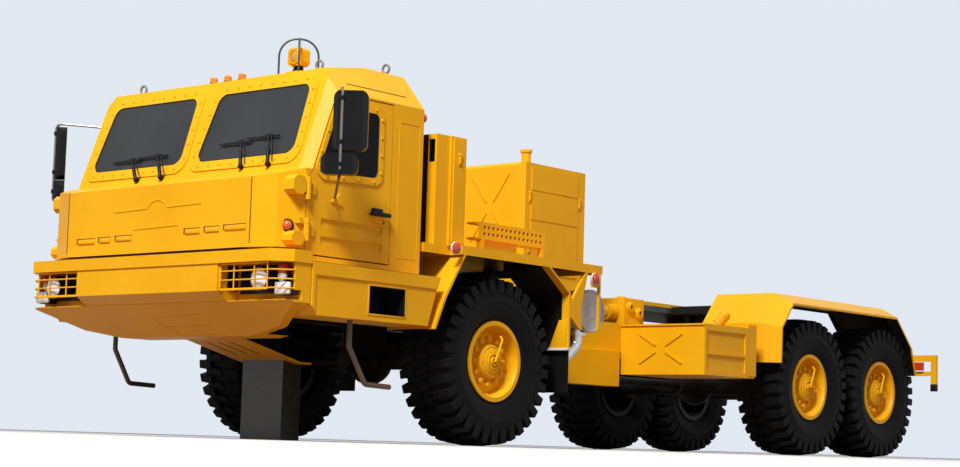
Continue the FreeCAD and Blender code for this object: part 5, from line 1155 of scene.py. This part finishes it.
MOUTH_NEAR, MOUTH_FAR, MOUTH_LOW, MOUTH_HIGH = -159.2, -117.8, 93.4, 116.2
step_mouth = shade_tray((HALF_WIDTH - 25.9, front(-157.9), 94.6), (HALF_WIDTH - 0.6, front(-119.1), 114.9),
                   (1, 0, 0))
slot = shade_tray((DOOR_FACE - 7.9, front(-74.6), 219.1), (DOOR_FACE - 2.1, front(-63.1), 236.9), FORWARD)
finish("step_and_slot_shade_trays", with_mirror([step_mouth, slot]), black)
edge_bars = [block((HALF_WIDTH - 1.6, front(near), low), (HALF_WIDTH - 0.5, front(far), high), bevel=0.25)
             for near, far, low, high in (
                 (MOUTH_NEAR, -158.0, 93.6, 115.9), (-119.0, MOUTH_FAR, 93.6, 115.9),
                 (MOUTH_NEAR, MOUTH_FAR, 115.0, MOUTH_HIGH), (MOUTH_NEAR, MOUTH_FAR, MOUTH_LOW, 94.5))]
finish("step_mouth_frames", with_mirror(edge_bars), yellow)

# %% [markdown]
# Inside, black sheets of painted shade close each front wheel arch towards the middle. There are
# three sheets, which leave a gap for the axle.

# %% Painted shade in the arches
ARCH_SHEETS = ((-81.0, -32.0, 70.0), (20.0, 103.0, 70.0), (-32.5, 20.5, 104.0))
finish("arch_shade_sheets", with_mirror([block((46.0, front(near), low), (48.0, front(far), 128.0), bevel=0.3)
                                   for near, far, low in ARCH_SHEETS]), flap_rubber_and_shade)

# %% [markdown]
# ## Latches, strips and the filler on the box
# Doors and panels that open have latches: a plate with a lever on it, and a pin through the lever.
# One latch is made lying flat and turned up against each face.

# %% Latches
def latch(foot, height):
    """A plate and a lever on a side face, by the middle of the plate."""
    parts = [block((-1.4, -height / 2, 0), (1.4, height / 2, 0.7), bevel=0.3),
             block((-0.7, -height * 0.36, 0.5), (0.7, height * 0.36, 1.7), bevel=0.4),
             rod((-1.8, height * 0.32, 1.0), (1.8, height * 0.32, 1.0), 0.8, sides=10)]
    turn = Matrix.Rotation(math.pi / 2, 4, "Y") @ Matrix.Rotation(math.pi / 2, 4, "Z")
    for part in parts:
        part.data.transform(Matrix.Translation(Vector(foot) * MM) @ turn)
    return parts


HOOD_FACE = corners("engine_hood")[1].x - 0.8
latches = latch((DOOR_FACE + 3.0, front(-51.0), 223.5), 10.0)
for back, z, height in ((162.5, 225.0, 11.0), (236.0, 226.0, 11.0), (162.5, 178.0, 9.0)):
    latches += latch((HOOD_FACE, front(back), z), height)
finish("door_and_hood_latches", with_mirror(latches), yellow)

# %% [markdown]
# The perforated steps have a black plate of painted shade behind their holes, and the slots of the
# ramp are dark rods of painted shade. A white strip and a small corner plate end the wheel arch
# above the rubber flap. The tail's posts end in black.

# %% Backs, strips and tail ends
tread_back = block((118.4, front(-3), 167.6), (119.4, front(76), 178.6), bevel=0.2)
ramp_lines = [rod((x, front(-168), 75.0), (x, front(-138), 67.6), 1.3, sides=10)
              for x in (-14.9, -1.9, 11.1)]
finish("shade_behind_holes", with_mirror([tread_back]) + ramp_lines, flap_rubber_and_shade)
strip = block((98.0, front(79.8), 80.8), (HALF_WIDTH + 0.1, front(84.6), 82.9), bevel=0.3)
finish("arch_end_strips", with_mirror([strip]), white_plastic)
corner_plate = block((128.0, front(80.4), 82.9), (145.0, front(82.2), 106.0), bevel=0.3)
pull(corner_plate, lambda spot: spot.x < 130 and spot.z > 100, (9.5, 0, 0))
finish("arch_corner_plates", with_mirror([corner_plate]), yellow)
tail_low, tail_high = corners("tail_frame")
tail_end = block((tail_high.x - 7.4, tail_low.y - 0.4, tail_low.z - 5.0),
                 (tail_high.x + 0.4, tail_high.y, tail_low.z + 3.0), bevel=0.5)
finish("tail_post_ends", with_mirror([tail_end]), black)

# %% [markdown]
# The filler is a grooved, turned neck that leans outward from the corner of the left stowage box. It
# stands on a pad, with a short side pipe.

# %% Filler on the side box
GROOVES, GROOVE_PITCH = 4, 3.2
LEAN_OUT = Vector((9.7, 8.2, 15.5)).normalized()
filler_foot = Vector((114.0, front(350), corners("stowage_boxes")[1].z - 4.0))
neck = [(0, 0), (0, 5.2), (1.4, 5.2), (1.4, 3.9), (5.0, 3.9)]
for low in (5.0 + step * GROOVE_PITCH for step in range(GROOVES)):
    neck += [(low, 5.6), (low + 2.0, 5.6), (low + 2.0, 4.8), (low + GROOVE_PITCH, 4.8)]
neck += [(18.5, 4.2), (19.4, 3.0), (19.4, 0)]
side_pipe = rod(filler_foot + Vector((-9, 2, 1.5)), filler_foot + Vector((1, 0, 4.0)), 2.2)
pad = block(filler_foot + Vector((-8, -7, 0)), filler_foot + Vector((7, 7, 3.2)), bevel=0.8)
finish("box_filler", [spun(neck, filler_foot, LEAN_OUT, steps=36), side_pipe, pad], yellow)

# %% [markdown]
# ## Pump and exhaust
# The pump block has round ports with flanges, four bolts each, and mouths of painted shade. The
# muffler's end has a rolled rim, and the exhaust's flange is bolted.

# %% Pump ports
FLANGE = [(0, 2.4), (0, 5.6), (1.4, 5.6), (1.9, 4.6), (3.0, 3.6), (3.0, 2.4), (0, 2.4)]
MOUTH = [(0, 0), (0, 2.6), (2.4, 2.6), (2.4, 0)]
BOLT_CIRCLE, FLANGE_TOP = 4.7, 1.7
pump_low, pump_high = corners("hydraulic_pump")
PUMP_MIDDLE = (pump_low.z + pump_high.z) / 2 + 1.5
OUT, AHEAD, UP = Vector((1, 0, 0)), Vector(FORWARD), Vector((0, 0, 1))
PORTS = (((14.0, front(352), PUMP_MIDDLE + 4), OUT), ((14.0, front(367), PUMP_MIDDLE - 1), OUT),
         ((0.0, front(344), PUMP_MIDDLE + 2), AHEAD), ((0.0, front(330), 134.0), AHEAD),
         ((-2.0, front(360), pump_high.z), UP))
bolt = rod((0, 0, -0.4), (0, 0, 0.9), 0.8, sides=6, bevel=0.25)
port_rings, port_mouths = [], []
for place, axis in PORTS:
    spot, beside = Vector(place), axis.orthogonal().normalized()
    port_rings.append(spun(FLANGE, spot, axis, steps=32))
    port_mouths.append(spun(MOUTH, spot, axis, steps=24))
    for angle in (45, 135, 225, 315):
        offset = Matrix.Rotation(math.radians(angle), 3, axis) @ beside * BOLT_CIRCLE
        port_rings.append(planted(bolt, spot + offset + axis * FLANGE_TOP, axis))
finish("pump_ports", port_rings, yellow)
# The port mouths are dark discs of painted shade
finish("pump_port_shades", port_mouths, shaded_paint)

# %% [markdown]
# The muffler is a drum across the truck. Its outer end has a rolled rim and a boss. The exhaust pipe
# starts from a flange with six bolts and ends in a thicker lip.

# %% Muffler rim and exhaust flange
RIM = [(0, 16.4), (0.9, 16.6), (1.2, 17.3), (0.9, 18.2), (-2.0, 18.4), (-2.0, 16.4), (0, 16.4)]
BOSS = [(0, 0), (0, 7.0), (0.7, 6.4), (0.7, 0)]
LIP = [(0, 4.4), (0, 6.1), (1.4, 6.1), (1.4, 4.4), (0, 4.4)]
PIPE_END, PIPE_AXIS = (122.1, front(107.6), 75.2), (-0.12, -0.75, -0.65)
FLANGE_CENTRE, FLANGE_RADIUS = Vector((124, front(122.5), 98.6)), 6.3
drum_end = middle("muffler")
drum_end.x = corners("muffler")[1].x
finish("muffler_rim", [spun(RIM, drum_end, steps=64), spun(BOSS, drum_end, steps=40)], grey_paint)
flange_bolts = [planted(bolt, FLANGE_CENTRE + Vector((math.cos(turn), math.sin(turn), 0)) * FLANGE_RADIUS, UP)
                for turn in (math.radians(30 + 60 * step) for step in range(6))]
finish("exhaust_flange_parts", flange_bolts + [spun(LIP, PIPE_END, PIPE_AXIS, steps=32)], bright_steel)
discard(bolt)

# %% [markdown]
# ## Seats
# On a model the seats are smooth moulded blocks. A cushion and a backrest are rounded blocks with a
# crowned middle: an inset on one face is raised a little, and a bevel rounds its edge off.

# %% Moulded seats
def pad_block(low, high, crown, upward):
    """A rounded moulding whose face in the upward direction is crowned."""
    piece = block(low, high, bevel=2.6, segments=2)
    edit(piece)
    pick(piece, lambda face: face.normal.dot(Vector(upward)) > 0.99)
    bpy.ops.mesh.inset(thickness=5.0 * MM, depth=crown * MM)
    bpy.ops.mesh.bevel(offset=1.2 * MM, segments=2, affect="EDGES")
    ready()
    return piece


SEAT_X, BACKREST_LEAN = 66.0, math.radians(-8)
seat_foot = corners("seats")[0].z


def seat_spot(x, ahead, up):
    """A place by its x and its distances ahead of the cab's back and above the seat's foot."""
    return Vector((x, CAB_BACK - ahead, seat_foot + up))


seat_parts = []
for x in (SEAT_X, -SEAT_X):
    seat_parts.append(block(seat_spot(x - 18.5, 65.5, 0), seat_spot(x + 18.5, 32.5, 22.6), bevel=1.5))
    seat_parts.append(pad_block(seat_spot(x - 22.8, 71.8, 22.2), seat_spot(x + 22.8, 28.2, 33.0), 0.9, UP))
    back = pad_block(seat_spot(x - 21.8, 29.5, 31.0), seat_spot(x + 21.8, 20.5, 91.5), 0.9, FORWARD)
    back.data.transform(about(seat_spot(x, 25, 31), Matrix.Rotation(BACKREST_LEAN, 4, "X")))
    seat_parts.append(back)
seats = finish("moulded_seats", seat_parts, seat_plastic)
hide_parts("seats")

# %% [markdown]
# ## Floor, light and camera
# The truck stands on a plain pale floor before a plain pale wall. A white floor would throw a strong
# bounce on the belly, so the floor is only pale where the camera sees it, directly or in a shine.

# %% Floor
def seen_directly(tree):
    """1 where the camera looks, straight, in a reflection or through glass, and 0 for bounced light."""
    rays = new_node(tree, "LightPath")
    return maths(tree, "MAXIMUM", rays["Is Camera Ray"], rays["Is Glossy Ray"], rays["Is Transmission Ray"])


FLOOR_COLOUR, BOUNCE_COLOUR = (0.66, 0.65, 0.64), (0.26, 0.14, 0.06)
FLOOR_DARK = tuple(part * 0.985 for part in FLOOR_COLOUR)
floor_finish = new_finish("pale_floor", FLOOR_DARK, FLOOR_COLOUR, (0.6, 0.65), bump=0.02, patch_scale=1.5,
                          grain_scale=200.0)
tree = floor_finish.node_tree
lay_over(floor_finish, maths(tree, "SUBTRACT", 1.0, seen_directly(tree)), BOUNCE_COLOUR)
ready()
bpy.ops.mesh.primitive_plane_add(size=30)
floor = bpy.context.object
floor.name = "pale_floor"
floor.data.materials.append(floor_finish)
print("floor:", FLOOR_COLOUR)

# %% [markdown]
# The room works in the same way. It looks pale behind the truck, but gives only weak light.

# %% World
ROOM_LIGHT, ROOM_POWER, ROOM_LOOK = (0.90, 0.92, 0.95), 0.24, (0.76, 0.81, 0.88)
world = bpy.data.worlds.new("pale_room")
bpy.context.scene.world = world
world.use_nodes = True
room = world.node_tree
light = new_node(room, "Background", {"Color": ROOM_LIGHT, "Strength": ROOM_POWER})[0]
look = new_node(room, "Background", {"Color": ROOM_LOOK, "Strength": 1.0})[0]
choice = new_node(room, "MixShader", {0: seen_directly(room), 1: light, 2: look})[0]
room.links.new(choice, room.nodes["World Output"].inputs["Surface"])
print("room light:", ROOM_POWER)

# %% [markdown]
# The light is a soft lamp from above and the front left, as in a show room, with a weak warm one for
# the shaded side and a wide one overhead.

# %% Lamps
def soft_lamp(name, place, target, size, power, colour):
    """An area lamp that is turned towards a target. Places and sizes are in metres, power in watts."""
    data = bpy.data.lights.new(name, "AREA")
    data.size, data.energy, data.color = size, power, colour
    lamp = new_object(name, data)
    lamp.location = place
    lamp.rotation_euler = (Vector(target) - Vector(place)).to_track_quat("-Z", "Y").to_euler()
    print(name, power, "W")


WHITE_LIGHT, WARM_LIGHT = (1.0, 0.98, 0.95), (1.0, 0.84, 0.66)
soft_lamp("key", (0.88, -2.08, 2.24), (0, -0.2, 0.15), 0.6, 106, WHITE_LIGHT)
soft_lamp("side", (2.6, 0.6, 0.9), (0, 0.1, 0.1), 1.6, 4, WARM_LIGHT)
soft_lamp("top", (-0.3, 0.6, 2.6), (0, 0.1, 0.1), 1.6, 14, WHITE_LIGHT)

# %% [markdown]
# The camera is just above the floor and looks slightly up. It is aimed by three angles: round the
# truck, up, and a small roll. The Standard view shows the paint's colour as it was set.

# %% Camera
LENS_LENGTH, SENSOR_WIDTH = 72.77, 36
AZIMUTH, LIFT, ROLL = 40.2, 6.18, 1.76
CAMERA_PLACE = Vector((1.12465, -1.46072, 0.002))
camera_data = bpy.data.cameras.new("camera")
camera_data.sensor_width, camera_data.lens = SENSOR_WIDTH, LENS_LENGTH
camera = new_object("camera", camera_data)
camera.location = CAMERA_PLACE
yaw, pitch, roll = (math.radians(angle) for angle in (AZIMUTH, LIFT, ROLL))
sight = Vector((-math.sin(yaw) * math.cos(pitch), math.cos(yaw) * math.cos(pitch), math.sin(pitch)))
camera.rotation_euler = (sight.to_track_quat("-Z", "Y").to_matrix()
                         @ Matrix.Rotation(roll, 3, "Z")).to_euler()
bpy.context.scene.camera = camera
bpy.context.scene.view_settings.view_transform = "Standard"
print("camera at", CAMERA_PLACE[:])
